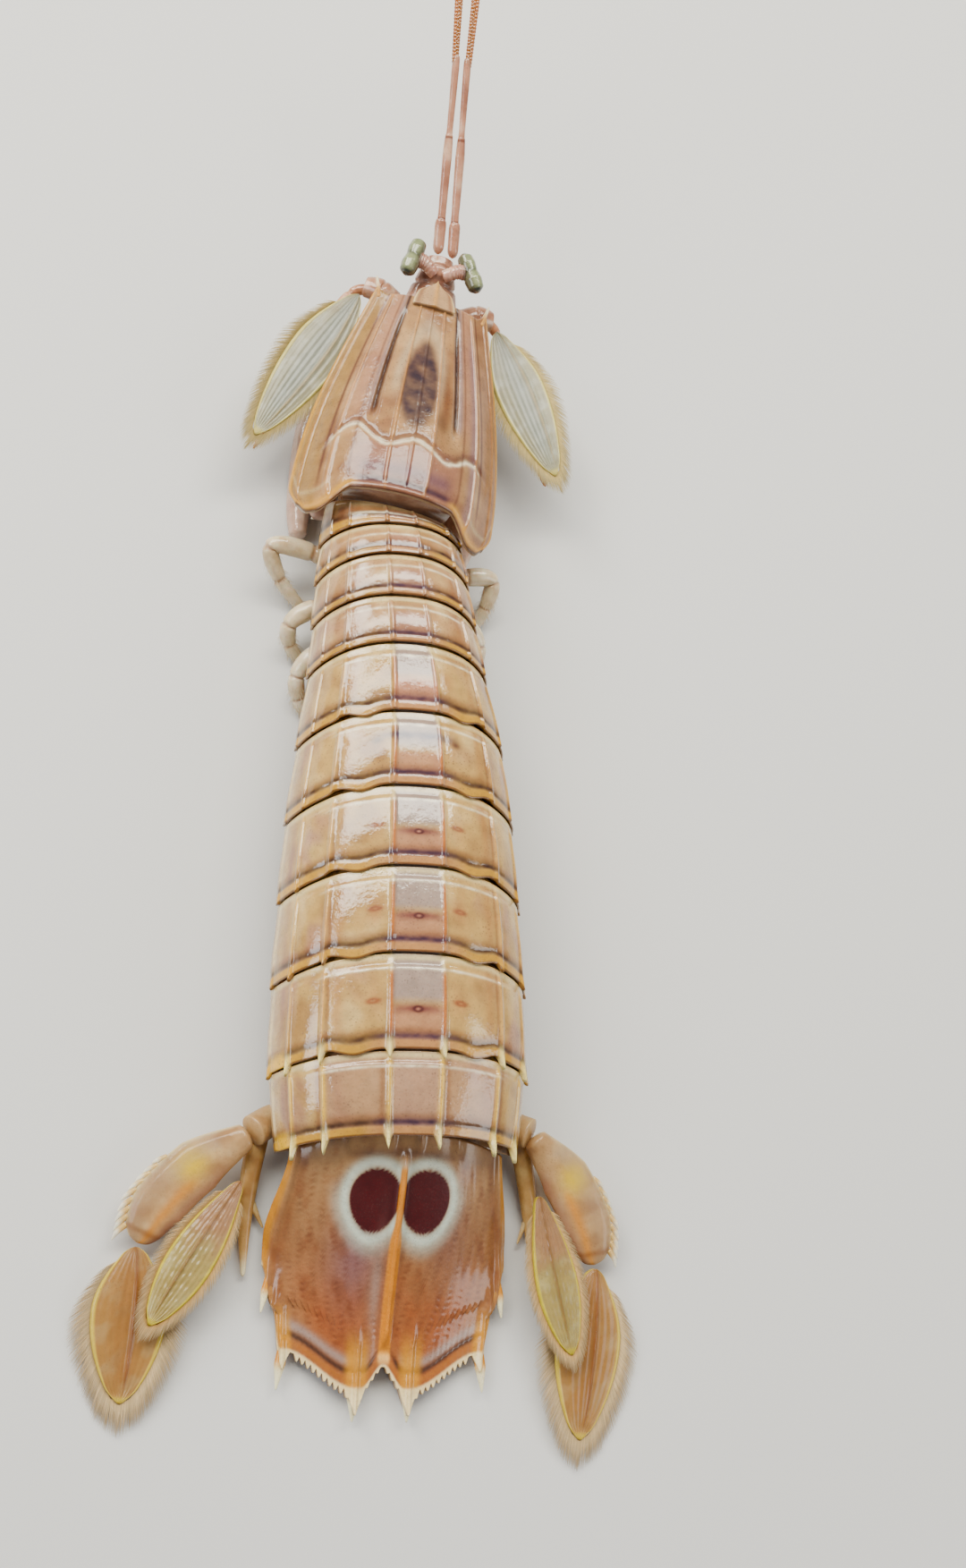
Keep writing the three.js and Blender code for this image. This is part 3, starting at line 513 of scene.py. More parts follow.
spurReach = {
    "abdomen_6": dict(submedian=1.9, intermediate=1.9, lateral=1.9, marginal=0.0),
    "abdomen_5": dict(submedian=1.3, intermediate=1.5, lateral=1.5, marginal=0.9),
    "abdomen_4": dict(submedian=0.0, intermediate=0.9, lateral=1.0, marginal=0.6),
    "abdomen_3": dict(submedian=0.0, intermediate=0.0, lateral=0.5, marginal=0.4),
}
domeAngles = np.linspace(-90, 90, 265)


# The sum of bells 1.25 degrees wide at the four ridges of each side.
def ridgeProfile(a):
    total = 0
    for key, size in (("submedian", 1.0), ("intermediate", 1.0), ("lateral", 1.0), ("marginal", 0.8)):
        total = total + size * hump(np.abs(a), ringShape[key], 1.25)
    return total


# The rear margin bulges back a little beside the submedian ridges, and less so further forward.
def waveShare(name, t):
    if t is None or not name.startswith("abdomen") or name.endswith("6"):
        return 0.0
    return math.exp(-t / 0.35)


# One section of a ring: x = half width times sin(a), z = edge plus rise times cos(a) to the 0.82,
# lifted at the ridges and drawn back at the sides and at the spines; then the belly back across.
def sectionRing(s, y, inset, ridge, t, name):
    half = s["w"] - inset
    low = s["edge"] + inset * 0.3
    a = domeAngles
    r = np.radians(a)
    lift = ridge * ringShape["ridgeHeight"] * ridgeProfile(a)
    x = (half + lift * 0.5) * np.sin(r)
    z = low + (s["top"] - inset - low + lift) * np.maximum(0, np.cos(r)) ** 0.82
    back = np.zeros_like(a)
    for key, reach in spurReach.get(name, {}).items():
        back = np.maximum(back, reach * np.clip(1 - np.abs(np.abs(a) - ringShape[key]) / 2.0, 0, 1) ** 1.3)
    if t is not None:
        back = back * math.exp(-max(t, 0) / 0.09)
        z = z + 0.35 * np.minimum(1, back) * np.cos(r)
        x = x * (1 + 0.35 * np.minimum(1, back) / half)
    else:
        back = back * 0
    wave = 0.6 * hump(np.abs(a), 27, 6.5) - 0.35 * hump(np.abs(a), 40, 5.0)
    yy = y - s["sweep"] * np.abs(np.sin(r)) ** 2.6 - x * math.tan(s["yaw"]) - back - wave * waveShare(name, t)
    # the under side: a rounded lower corner, then the soft belly
    u = np.linspace(0, 1, 25)[1:-1]
    cornerX, cornerZ = half - 0.9 - 0.35 * inset, low - 0.3 + 0.45 * inset
    under = half * 0.74
    bx = np.interp(u, [0, 0.12, 0.35, 0.5, 0.65, 0.88, 1], [half, cornerX, under, 0, -under, -cornerX, -half])
    bz = np.interp(
        u,
        [0, 0.12, 0.35, 0.44, 0.5, 0.56, 0.65, 0.88, 1],
        [low, cornerZ, s["belly"] + 0.6 * inset, s["belly"] - 0.4 + 0.6 * inset, s["belly"] - 0.1 + 0.6 * inset,
         s["belly"] - 0.4 + 0.6 * inset, s["belly"] + 0.6 * inset, cornerZ, low],
    )
    by = y - s["sweep"] * np.abs(bx / half) ** 2.6 - bx * math.tan(s["yaw"])
    ring = np.concatenate([np.stack([x, yy, z], -1), np.stack([bx, by, bz], -1)])
    ring[:, 0] += s["shift"]
    return ring


# The rows of a ring: its socket, its thick lip, sections mixed from this ring to the one ahead,
# and the neck that slides under the ring in front.
def ringRows(here, ahead, count=80):
    rows, ts, insets = [], [], []
    for depth in (1.0, 0.55, 0.2):
        y = here["y"] + ringShape["socketDepth"] * depth
        rows.append(sectionRing(here, y, ringShape["lip"] * (1 + depth), 0, None, here["name"]))
        ts.append(-depth * 0.1)
    for inset, dy in ((0.5, 0.0), (0.3, -0.10), (0.1, -0.10)):
        rows.append(sectionRing(here, here["y"] + dy, inset, 0.6, 0.0, here["name"]))
        ts.append(0.0)
    keys = ("y", "w", "top", "edge", "belly", "sweep", "shift", "yaw")
    for t in np.concatenate([np.linspace(0, 0.16, 18)[:-1], np.linspace(0.16, 1, count)]):
        s = {k: mix(here[k], ahead[k], float(t)) for k in keys}
        s["top"] += 0.30 * math.sin(math.pi * t) - 0.25 * math.exp(-(((t - 0.13) / 0.035) ** 2)) * 0.3
        s["top"] -= 0.22 * float(ramp(np.float64(t), 0.84, 0.9))
        inset = 0.25 * float(ramp(np.float64(t), 0.3, 0.97)) + 0.04
        ridge = float(ramp(np.float64(t), 1.0, 0.8))
        rows.append(sectionRing(s, s["y"] - 0.35 * float(t), inset, ridge, float(t), here["name"]))
        ts.append(float(t))
    if ahead["name"] != "front":
        for dy, inset in ((-0.35, 0.8), (-0.33, 1.1), (0.4, 1.4), (0.9, 1.7)):
            rows.append(sectionRing(ahead, ahead["y"] + dy, inset, 0, None, here["name"]))
            ts.append(1.02 + inset * 0.01)
    return np.stack(rows), np.array(ts)


# Colours of a ring by its place round (degrees) and along (0 at the rear margin, 1 in front).
# The bands at the two edges are counted in millimetres from the edge.
def ringTint(rings, ts, name, length):
    n = len(domeAngles)
    a = np.concatenate([domeAngles, np.full(rings.shape[1] - n, 180.0)])
    side = np.broadcast_to(a, rings.shape[:2])
    fromCrown = np.abs(side)
    progress = np.broadcast_to(ts[:, None], rings.shape[:2])
    fromRear, fromFront = progress * length, (1 - progress) * length
    onTop = ramp(fromCrown, 179, 170)
    rough = wobble(rings, 7.0, 11)
    fine = wobble(rings, 2.2, 12)
    patch = wobble(rings * np.array([1, 0.55, 1]), 6.5, 13)
    abdomen = name.startswith("abdomen")
    number = int(name[-1])
    tint = np.broadcast_to(linear("c6a668" if abdomen else "c09c6e"), rings.shape).copy()
    tint = blendIn(tint, "dec692", 0.55 * ramp(rough, 0.0, 0.9))
    tint = blendIn(tint, "a07a48", 0.6 * ramp(-rough, 0.0, 0.9))
    tint = blendIn(tint, "ab8078", 0.6 * ramp(patch, 0.0, 0.8) * hump(fromCrown, 56, 17))
    amount = 0.45 * ramp(-patch, 0.1, 0.8) * hump(fromCrown, 30, 9) * ramp(progress, 0.4, 0.8)
    tint = blendIn(tint, "b58c7c", amount)
    tint = blendIn(tint, "a8703c", 0.35 * hump(fromCrown, 36, 3.0) * ramp(progress, 0.1, 0.3))
    strip = ramp(fromCrown, ringShape["submedian"] + 0.5, ringShape["submedian"] - 0.5)
    if abdomen and number < 6:
        tint = blendIn(tint, "c09074", 0.75 * strip * ramp(progress, 0.5, 0.38))
        tint = blendIn(tint, "a5948f", 0.85 * strip * ramp(progress, 0.42, 0.56))
        amount = 0.5 * hump(fromCrown, 19, 4.0) * hump(progress, 0.5, 0.16) * (0.7 + 0.5 * patch)
        tint = blendIn(tint, "a87044", amount)
        amount = 0.95 * hump(fromCrown, ringShape["submedian"], 0.8) * ramp(progress, 0.9, 0.75)
        tint = blendIn(tint, "bf761e", amount)
        # a painted highlight on the front part of each submedian ridge
        amount = 0.8 * hump(fromCrown, ringShape["submedian"], 0.8) * ramp(progress, 0.75, 0.88)
        tint = blendIn(tint, "ead7a4", amount)
        tint = blendIn(tint, "dcae5e", 0.7 * hump(fromCrown, ringShape["intermediate"], 0.7))
        tint = blendIn(tint, "8d5a30", 0.5 * hump(fromCrown, ringShape["intermediate"] - 2.2, 1.0))
        tint = blendIn(tint, "e0b868", 0.7 * hump(fromCrown, ringShape["lateral"], 0.8))
    elif abdomen:
        tint = blendIn(tint, "ae8a78", 0.6 * ramp(fromCrown, 50, 40))
        tint = blendIn(tint, "b79680", 0.6 * strip)
        for key in ("submedian", "intermediate", "lateral"):
            tint = blendIn(tint, "e2bd4c", 0.9 * hump(fromCrown, ringShape[key], 1.3))
            tint = blendIn(tint, "8f6038", 0.5 * hump(fromCrown, ringShape[key] + 3.2, 1.4))
    else:
        tint = blendIn(tint, "b08476", 0.6 * strip * ramp(progress, 0.75, 0.5))
        tint = blendIn(tint, "c29468", 0.5 * hump(fromCrown, ringShape["submedian"], 0.8))
        tint = blendIn(tint, "8f6038", 0.4 * hump(fromCrown, 52, 4) * (0.6 + 0.5 * patch))
        tint = blendIn(tint, "a97f5a", 0.4 * hump(fromCrown, 36, 8) * ramp(patch, -0.2, 0.5))
    if abdomen and number in (3, 4, 5):
        bar = ramp(fromCrown, 12.5, 7.5) * hump(progress, 0.41, 0.05) * (0.55 + 0.45 * hump(fromCrown, 0, 6))
        tint = blendIn(tint, "70303a", 0.85 * bar)
        dot = np.sqrt((fromCrown / 1.9) ** 2 + ((progress - 0.405) / 0.030) ** 2)
        tint = blendIn(tint, "52161e", 0.8 * hump(dot, 0.9, 0.4))
        tint = blendIn(tint, "d09a80", 0.8 * hump(dot, 0.0, 0.4))
        dash = np.sqrt(((fromCrown - 19.5) / 3.6) ** 2 + ((progress - 0.5) / 0.035) ** 2)
        tint = blendIn(tint, "94502c" if number == 5 else "96583c", 0.75 * hump(dash, 0.55, 0.5))
    if abdomen and number == 2:
        bar = hump(progress, 0.66 + 0.02 * fine, 0.055) * ramp(fromCrown, 27, 15)
        bar = bar * (0.55 + 0.45 * hump(fromCrown, 6, 5))
        tint = blendIn(tint, "3c2a5e", 0.95 * bar)
        tint = blendIn(tint, "5a2a20", 0.8 * hump(progress, 0.6, 0.05) * hump(fromCrown, 21, 3))
        tint = blendIn(tint, "9a6440", 0.4 * hump(fromCrown, 27, 5) * hump(progress, 0.5, 0.12))
    if abdomen and number == 1:
        tint = blendIn(tint, "c49078", 0.6 * strip * ramp(progress, 0.6, 0.4))
    # low on the flanks the shell is thin and pale, with a bright line above the edge
    tint = blendIn(tint, "cdb292", 0.65 * ramp(fromCrown, 68, 80) * (0.7 + 0.4 * fine))
    tint = blendIn(tint, "9f746c", 0.5 * hump(fromCrown, 71, 3.0) * (0.7 + 0.5 * patch))
    tint = blendIn(tint, "efe0bc", 0.55 * hump(fromCrown, 83, 2.0))
    # rear margin: a gold band at the edge and a dark line before it, purple across the middle
    wide = 1.25 if abdomen else 0.95
    tint = blendIn(tint, "8e5c34", 0.45 * hump(fromRear, 1.75 * wide, 0.5) * onTop)
    dark = hump(fromRear, 1.2 * wide, 0.40 * wide) * onTop * (0.9 + 0.2 * fine)
    tint = blendIn(tint, "4f2e0f", 0.92 * dark * ramp(fromCrown, 10, 22))
    tint = blendIn(tint, "4c2c48", 0.92 * dark * ramp(fromCrown, 24, 12))
    gold = ramp(fromRear, 0.95 * wide, 0.7 * wide) * onTop
    tint = blendIn(tint, "c69c34", 0.92 * gold * ramp(fromCrown, 12, 28))
    tint = blendIn(tint, "c2945e", 0.85 * gold * ramp(fromCrown, 28, 12))
    tint = blendIn(tint, "d8aa1c", 0.7 * gold * ramp(fromCrown, 52, 66))
    tint = blendIn(tint, "6b4218", 0.7 * ramp(fromRear, 0.22, 0.08) * onTop)
    # front edge: the cream lip that the ring before it slides over, lightened into a painted highlight, and a thin
    # painted highlight line 1.9 mm behind the edge
    tint = blendIn(tint, "e6d5a4", 0.7 * hump(fromFront, 0.45, 0.4) * onTop)
    amount = 0.8 * hump(fromFront, 1.9, 0.2) * ramp(fromCrown, 52, 36) * (0.7 + 0.4 * fine)
    tint = blendIn(tint, "f3ead0", amount)
    if abdomen and number in (5, 6):
        spots = hump(fromCrown, ringShape["submedian"], 1.5) + hump(fromCrown, ringShape["intermediate"], 1.7)
        spots = spots + hump(fromCrown, ringShape["lateral"], 1.8)
        tint = blendIn(tint, "f0e3a0", 0.95 * spots * ramp(fromRear, 2.2, 0.5))
        amount = 0.85 * ramp(fromCrown, 64, 70) * ramp(fromCrown, 86, 80) * ramp(fromRear, 2.6, 1.2)
        tint = blendIn(tint, "e9bf22", amount)
    tint = blendIn(tint, "c7ac86", 0.9 * ramp(fromCrown, 150, 170))
    return blendIn(tint, "b98f66", 0.7 * ramp(progress, 0.0, -0.05))


for here, ahead in zip(trunk[:-1], trunk[1:]):
    rings, ts = ringRows(here, ahead)
    Gather().loft(rings, ringTint(rings, ts, here["name"], ahead["y"] - here["y"])).make(
        here["name"].replace("_", "Ring"), shellMaterial, "shell", [here["name"]]
    )
print("trunk done")

# Telson
telsonShape = dict(length=30.5, width=31.5, yaw=-0.03, toothAt=0.72)
# place of each tooth across, how far it stands out, its half width
telsonTeeth = [(0.24, 3.0, 0.09), (0.9, 2.2, 0.07)]
telsonDenticles = [(0.32 + 0.05 * k, 0.85, 0.024) for k in range(10)]
telsonDenticles += [(0.045 + 0.045 * k, 0.45, 0.02) for k in range(3)]


# How far back the telson reaches at u across: its length less the notch and shoulder, plus teeth.
def telsonRear(u, toothed=True):
    a = np.abs(u)
    notch = 2.9 * (1 - ramp(a, 0, 0.2))
    shoulder = 4.6 * ramp(a, 0.24, 0.9) + 5 * ramp(a, 0.92, 1)
    points = 0 * a
    if not toothed:
        return telsonShape["length"] - notch - shoulder
    for at, reach, half in telsonTeeth:
        points = points + reach * np.clip(1 - np.abs(a - at) / half, 0, 1) ** 1.15
    for at, reach, half in telsonDenticles:
        points = points + reach * np.clip(1 - np.abs(a - at) / half, 0, 1)
    return telsonShape["length"] - notch - shoulder + points


# The telson's upper surface: z = rim + (crest - rim) (1 - |u| to the 2.3), with a keel, ridges to
# the teeth, and rows of pits where two cosines meet.
def telsonTop(u, v):
    a = np.abs(u)
    step = 0.06 * ramp(v, telsonShape["toothAt"], telsonShape["toothAt"] + 0.05)
    width = telsonShape["width"] / 2 * (0.88 + 0.13 * ramp(v, 0, 0.55) - step - 0.05 * ramp(v, 0.75, 1))
    x = u * width
    start = 1.9 * a**2.6 - 0.55
    y = -mix(start, telsonRear(u), v)
    v = (-y - start) / (telsonRear(u, False) - start)
    crest = mix(14.2, 2.6, ramp(v, -0.25, 1.05))
    rim = mix(7.2, 1.5, ramp(v, 0, 0.6))
    z = rim + (crest - rim) * (1 - a**2.3)
    z = z + 1.2 * hump(u, 0, 0.035) * ramp(v, 0.04, 0.16) * (1 - ramp(v, 0.84, 0.95))
    # ridges that run out into the marginal teeth, and curved lines of pits between them
    z = z + 0.5 * hump(a, mix(0.18, 0.24, v), 0.022) * ramp(v, 0.68, 0.9)
    z = z + 0.55 * hump(a, mix(0.8, 0.9, v), 0.03) * ramp(v, 0.6, 0.8)
    z = z + 0.5 * hump(a, 0.955, 0.03) * (1 - ramp(v, 0.9, 1))
    z = z + 0.5 * hump(a, 0.13, 0.03) * hump(v, 0.02, 0.06) + 0.4 * hump(a, 0.5, 0.05) * hump(v, 0.02, 0.06)
    along = -y
    line = np.abs(x) * 0.92 + 0.05 * (along - 6) ** 2 / 6
    rows = 0.5 + 0.5 * np.cos(2 * math.pi * line / 1.25)
    beads = 0.5 + 0.5 * np.cos(2 * math.pi * along / 0.8 + 1.3 * np.sin(line * 2.1))
    fieldMask = ramp(a, 0.06, 0.1) * (1 - ramp(a, 0.84, 0.93)) * ramp(v, 0.08, 0.16) * (1 - ramp(v, 0.86, 0.93))
    gap = telsonRear(u, False) - along
    aroundHeart = np.sqrt(((np.abs(x) - 3.25) / 3.1) ** 2 + ((along - 7.7) / 3.9) ** 2)
    fieldMask = fieldMask * ramp(aroundHeart, 1.0, 1.5) * ramp(gap, 3.6, 5.0)
    z = z - 0.03 * fieldMask * rows * beads
    z = z - 0.12 * hump(gap, 2.1, 0.5) * (1 - ramp(a, 0.85, 0.95))
    pits = rows * beads * fieldMask * (0.6 + 0.4 * np.cos(x * 1.7 + along))
    return np.stack(np.broadcast_arrays(x, y, z), -1), pits


u = np.linspace(-1, 1, 341)[None, :]
v = np.concatenate([np.linspace(0, 0.64, 56)[:-1], np.linspace(0.64, 0.8, 26)[:-1], np.linspace(0.8, 1, 50)])[:, None]
above, pits = telsonTop(u, v)
under, _ = telsonTop(u[:, ::-1][:, 1:-1], v)
thick = mix(mix(5.6, 1.8, ramp(v, 0, 1)), 0.8, np.abs(u[:, ::-1][:, 1:-1]) ** 2)
under = under.copy()
under[..., 2] = np.maximum(0.05, np.minimum(under[..., 2] - 0.6, under[..., 2] - thick))
outShare = np.broadcast_to(np.abs(u), above.shape[:2])
crossPlace, longPlace = above[..., 0], above[..., 1]
start = 1.9 * outShare**2.6 - 0.55
backShare = (-longPlace - start) / (telsonRear(outShare, False) - start)
tint = np.broadcast_to(linear("a67c54"), above.shape).copy()
rough = wobble(above, 7.0, 31)
patch = wobble(above, 3.0, 32)
tint = blendIn(tint, "bb9a70", 0.75 * ramp(backShare, 0.5, 0.15) * (0.8 + 0.4 * rough))
amount = 0.75 * ramp(backShare, 0.42, 0.75) * ramp(outShare, 0.9, 0.6) * (0.8 + 0.4 * rough)
tint = blendIn(tint, "a9622e", amount)
tint = blendIn(tint, "8d6a72", 0.75 * hump(crossPlace, -5.0, 3.4) * hump(longPlace, -14.5, 6.0))
tint = blendIn(tint, "8a6058", 0.6 * hump(crossPlace, 6.5, 3.0) * hump(longPlace, -10.5, 6.0))
tint = blendIn(tint, "86502c", 0.45 * ramp(-patch, 0.0, 0.9))
tint = blendIn(tint, "8c5a30", 0.55 * hump(outShare, 0.88, 0.06) * ramp(backShare, 0.9, 0.7))
tint = blendIn(tint, "6a3820", 0.4 * pits)
tint = blendIn(tint, "b79468", 0.6 * hump(backShare, 0.035, 0.03) * ramp(outShare, 0.95, 0.8))
tint = blendIn(tint, "6a4030", 0.5 * hump(backShare, 0.085, 0.02) * ramp(outShare, 0.6, 0.3))
halo, heart = 0 * outShare, 0 * outShare
for side in (-1, 1):
    wide = 3.0 * (1 + 0.035 * (longPlace + 7.7)) + 0.15
    spot = np.sqrt(((crossPlace - side * 3.25) / wide) ** 2 + ((longPlace + 7.7) / 3.9) ** 2)
    halo = np.maximum(halo, hump(spot, 1.18, 0.2) * 0.95 + 0.35 * hump(spot, 1.5, 0.25) * ramp(longPlace, -4, -8))
    heart = np.maximum(heart, ramp(spot, 1.04, 0.96))
tint = blendIn(tint, "ccd2c4", halo)
tint = blendIn(tint, "5a0c14", 0.98 * heart)
gap = telsonRear(outShare, False) + longPlace
# a painted highlight along the raised band in front of the dark band at the rear margin
amount = 0.85 * hump(gap, 3.3, 0.75) * ramp(outShare, 0.1, 0.2) * ramp(outShare, 0.92, 0.84)
tint = blendIn(tint, "a8968e", amount)
amount = 0.85 * hump(gap, 2.1, 0.5) * ramp(outShare, 0.04, 0.12) * ramp(outShare, 0.95, 0.88)
tint = blendIn(tint, "4a342c", amount)
tint = blendIn(tint, "ae7434", 0.8 * hump(gap, 1.1, 0.5) * ramp(outShare, 0.97, 0.92))
middle = np.abs(crossPlace) / mix(0.42, 0.72, ramp(longPlace, -10, -13))
amount = 0.95 * ramp(middle, 1.25, 0.8) * ramp(longPlace, -3.2, -4.2) * ramp(longPlace, -27.5, -26.0)
tint = blendIn(tint, "d89420", amount)
tint = blendIn(tint, "eec98c", 0.8 * hump(longPlace, -26.6, 0.7) * ramp(middle, 1.4, 0.6))
# a painted highlight streak beside the keel on the left
tint = blendIn(tint, "b5a59c", 0.5 * hump(crossPlace, -1.9, 0.8) * hump(longPlace, -18, 5.5))
for at, reach, half in telsonTeeth:
    onTooth = ramp(np.abs(outShare - at), half * 1.5, half * 0.5)
    tint = blendIn(tint, "cf9a2a", 0.9 * onTooth * ramp(backShare, 0.74, 0.9))
    tint = blendIn(tint, "f0e6b8", 0.95 * onTooth * ramp(backShare, 0.99, 1.04))
tint = blendIn(tint, "ecd9ac", 0.9 * ramp(gap, 0.55, 0.1) * ramp(outShare, 0.98, 0.9))
tint = blendIn(tint, "cc9424", 0.85 * ramp(outShare, 0.94, 0.98) * ramp(backShare, 0.97, 0.9))
amount = 0.95 * hump(backShare, telsonShape["toothAt"], 0.02) * ramp(outShare, 0.985, 1.0)
tint = blendIn(tint, "f3ecc8", amount)
tint = blendIn(tint, "4a2a1c", 0.6 * ramp(backShare, 0.012, 0.0))
underTint = np.broadcast_to(linear("c8a27c"), under.shape)
c, sn = math.cos(telsonShape["yaw"]), math.sin(telsonShape["yaw"])
turn = np.array([[c, sn, 0], [-sn, c, 0], [0, 0, 1]])
tail = Gather().loft(np.concatenate([above, under], 1) @ turn, np.concatenate([tint, underTint], 1), True)
# three pairs of marginal teeth stand out as slim spines from the ridges that lead to them
for side in (-1, 1):
    for root, tip, thickness in (
        ((3.5, -28.6, 1.9), (3.5, -34.3, 1.3), 0.95), ((12.7, -25.0, 1.6), (13.3, -30.6, 1.3), 0.75),
        ((14.9, -16.6, 2.0), (15.7, -21.4, 1.5), 0.6),
    ):
        middle = (side * mix(root[0], tip[0], 0.45), mix(root[1], tip[1], 0.45), mix(root[2], tip[2], 0.3))
        rings, t, g = tubeRings(
            [
                (side * root[0], root[1], root[2], thickness * 0.7, thickness * 0.5),
                (*middle, thickness, thickness * 0.75), (side * tip[0], tip[1], tip[2], 0.09, 0.09),
            ],
            rows=40,
            sides=18,
        )
        spineTint = mix(linear("cf9424"), linear("f4ecc8"), ramp(t, 0.35, 0.7)[:, None, None] * np.ones((1, 18, 1)))
        tail.loft(rings @ turn, spineTint)
tail.make("telsonPlate", tailMaterial, "inner_shell", ["telson"])
print("telson done")


# A blade's own axes: along from root to tip, across level and then rolled, and up.
def leafFrame(root, tip, roll):
    a, b = np.array(root, float), np.array(tip, float)
    along = (b - a) / np.linalg.norm(b - a)
    across = np.cross([0, 0, 1.0], along)
    across /= np.linalg.norm(across)
    up = np.cross(along, across)
    c, s = math.cos(roll), math.sin(roll)
    return a, along, across * c + up * s, up * c - across * s, float(np.linalg.norm(b - a))


# Half width of a blade: 0.2 + 0.8 sin up to its widest place, then cos to the 0.75 down to the tip.
def leafHalf(v, width, belly):
    rise = np.clip(v / belly, 0, 1)
    fall = np.clip((v - belly) / (1 - belly), 0, 1)
    h = np.where(v < belly, 0.2 + 0.8 * np.sin(rise * math.pi / 2), np.cos(fall * math.pi / 2) ** 0.75)
    return width / 2 * np.maximum(0.02, h)


bladeShape = dict(hardShare=0.80, hardReach=0.93, bristles=560, bristleRadius=0.1)


# A blade is a lens across: the square root of (1 - |u| to the 2.6), with a rib, veins, an edge rib
# and, round it, hairs that stand off the outline.
def makeLeaf(name, root, tip, roll, width, thickness, belly, look, nodes, fore=False):
    origin, along, across, up, length = leafFrame(root, tip, roll)
    u = np.linspace(-1, 1, 91)
    v = np.linspace(0, 1, 120)[:, None]
    hardHalf = leafHalf(v * 0.97, width, belly) * bladeShape["hardShare"]
    hardHalf = hardHalf * np.sqrt(1 - 0.98 * ((v - 0.9) / 0.1).clip(0, 1) ** 2)
    hardHalf = hardHalf * np.sqrt(1 - 0.95 * ((0.05 - v) / 0.05).clip(0, 1) ** 2)
    y = u * hardHalf
    x = np.broadcast_to(v * length * bladeShape["hardReach"], y.shape)
    lens = np.sqrt(np.clip(1 - np.abs(u) ** 2.6, 0, 1)) * np.sqrt(np.clip(1 - v**8, 0.02, 1))
    t = 0.12 + (thickness / 2 - 0.12) * lens
    rib = 0.22 * hump(u, look.get("rib", 0.1), 0.07) * (1 - ramp(v, 0.75, 0.98))
    vein = 0.03 * np.cos(u * 28 + 3 * v) * (1 - np.abs(u) ** 4)
    edgeRib = 0.10 * hump(np.abs(u), 0.93, 0.05)
    pebble = look.get("pebble", 0.0) * wobble(np.stack(np.broadcast_arrays(x, y), -1), 1.6, 41, 2)
    top = t + rib + vein + edgeRib + pebble
    place = lambda a, b, c: origin + a[..., None] * along + b[..., None] * across + c[..., None] * up
    above = place(x, y, top)
    below = place(x[:, ::-1], y[:, ::-1], -t[:, ::-1])[:, 1:-1]
    outShare = np.broadcast_to(np.abs(u), y.shape)
    backShare = np.broadcast_to(v, y.shape)
    cloud = wobble(above, 3.2, 43)
    tint = np.broadcast_to(linear(look["base"]), above.shape).copy()
    tint = blendIn(tint, look["light"], 0.6 * ramp(cloud, -0.2, 0.8))
    tint = blendIn(tint, look["centre"], 0.7 * (1 - ramp(outShare, 0.1, 0.7)) * (1 - ramp(backShare, 0.75, 1)))
    if "front" in look:
        tint = blendIn(tint, look["front"], 0.85 * (1 - ramp(backShare + 0.05 * cloud, 0.28, 0.54)))
    tint = blendIn(tint, look["rim"], 0.95 * np.maximum(ramp(outShare, 0.84, 0.92), ramp(backShare, 0.945, 0.975)))
    tint = blendIn(tint, look["ribCode"], 0.7 * hump(u, look.get("rib", 0.1), 0.06) * (1 - ramp(backShare, 0.8, 1)))
    clear = look["clear"] * (1 - ramp(outShare, 0.82, 0.9)) * (1 - ramp(backShare, 0.92, 0.96)) * (0.7 + 0.3 * cloud)
    Gather().loft(
        np.concatenate([above, below], 1),
        np.concatenate([tint, tint[:, ::-1][:, 1:-1]], 1),
        True,
        clear=np.concatenate([clear, clear[:, ::-1][:, 1:-1]], 1),
    ).make(name, bladeMaterial, "blade", nodes, fore)
    # bristles stand out from the hard edge, leaning towards the tip
    rng = np.random.default_rng(len(name) * 7 + int(abs(root[0]) * 10))
    count = bladeShape["bristles"]
    s = np.linspace(look.get("from", 0.08), 2 - look.get("from", 0.08), count) + rng.uniform(-0.001, 0.001, count)
    onLeft = s < 1
    vv = np.where(onLeft, s, 2 - s)
    vv = 1 - (1 - vv) ** 1.35
    sign = np.where(onLeft, -1.0, 1.0)
    edge = leafHalf(vv * 0.97, width, belly) * bladeShape["hardShare"]
    blunt = np.clip((1 - vv) / 0.03, 0, 1)
    roots = place(vv * length * bladeShape["hardReach"], sign * edge * 0.98 * blunt, np.zeros(count))
    lean = ramp(vv, 0.0, 1.0)
    ahead = leafHalf(np.clip(vv * 0.97 + 0.01, 0, 1), width, belly)
    slope = np.clip((ahead - leafHalf(vv * 0.97, width, belly)) / (0.0103 * length), -3, 1)
    outX = mix(0.45, 1.0, lean) - np.minimum(0, slope) * 0.5
    outY = sign * mix(1.0, 0.3, lean**2) * (1 - ramp(vv, 0.9, 1.0))
    norm = np.sqrt(outX**2 + outY**2)
    reach = look["fringe"] * (0.55 + 0.45 * ramp(vv, 0.0, 0.4)) * rng.uniform(0.88, 1.08, count)
    tips = roots + (outX / norm * reach)[:, None] * along + (outY / norm * reach)[:, None] * across
    tips = tips + rng.normal(0, 0.06, (count, 3))
    tips[:, 2] = np.maximum(0.08, tips[:, 2])
    bend = along * 0.35
    makeHairs(
        name + "Fringe", roots, tips, bladeShape["bristleRadius"], look["bristle"], look["bristleTip"], fringeMaterial,
        np.broadcast_to(bend, (count, 3)), fore, 0.45, 5,
    )


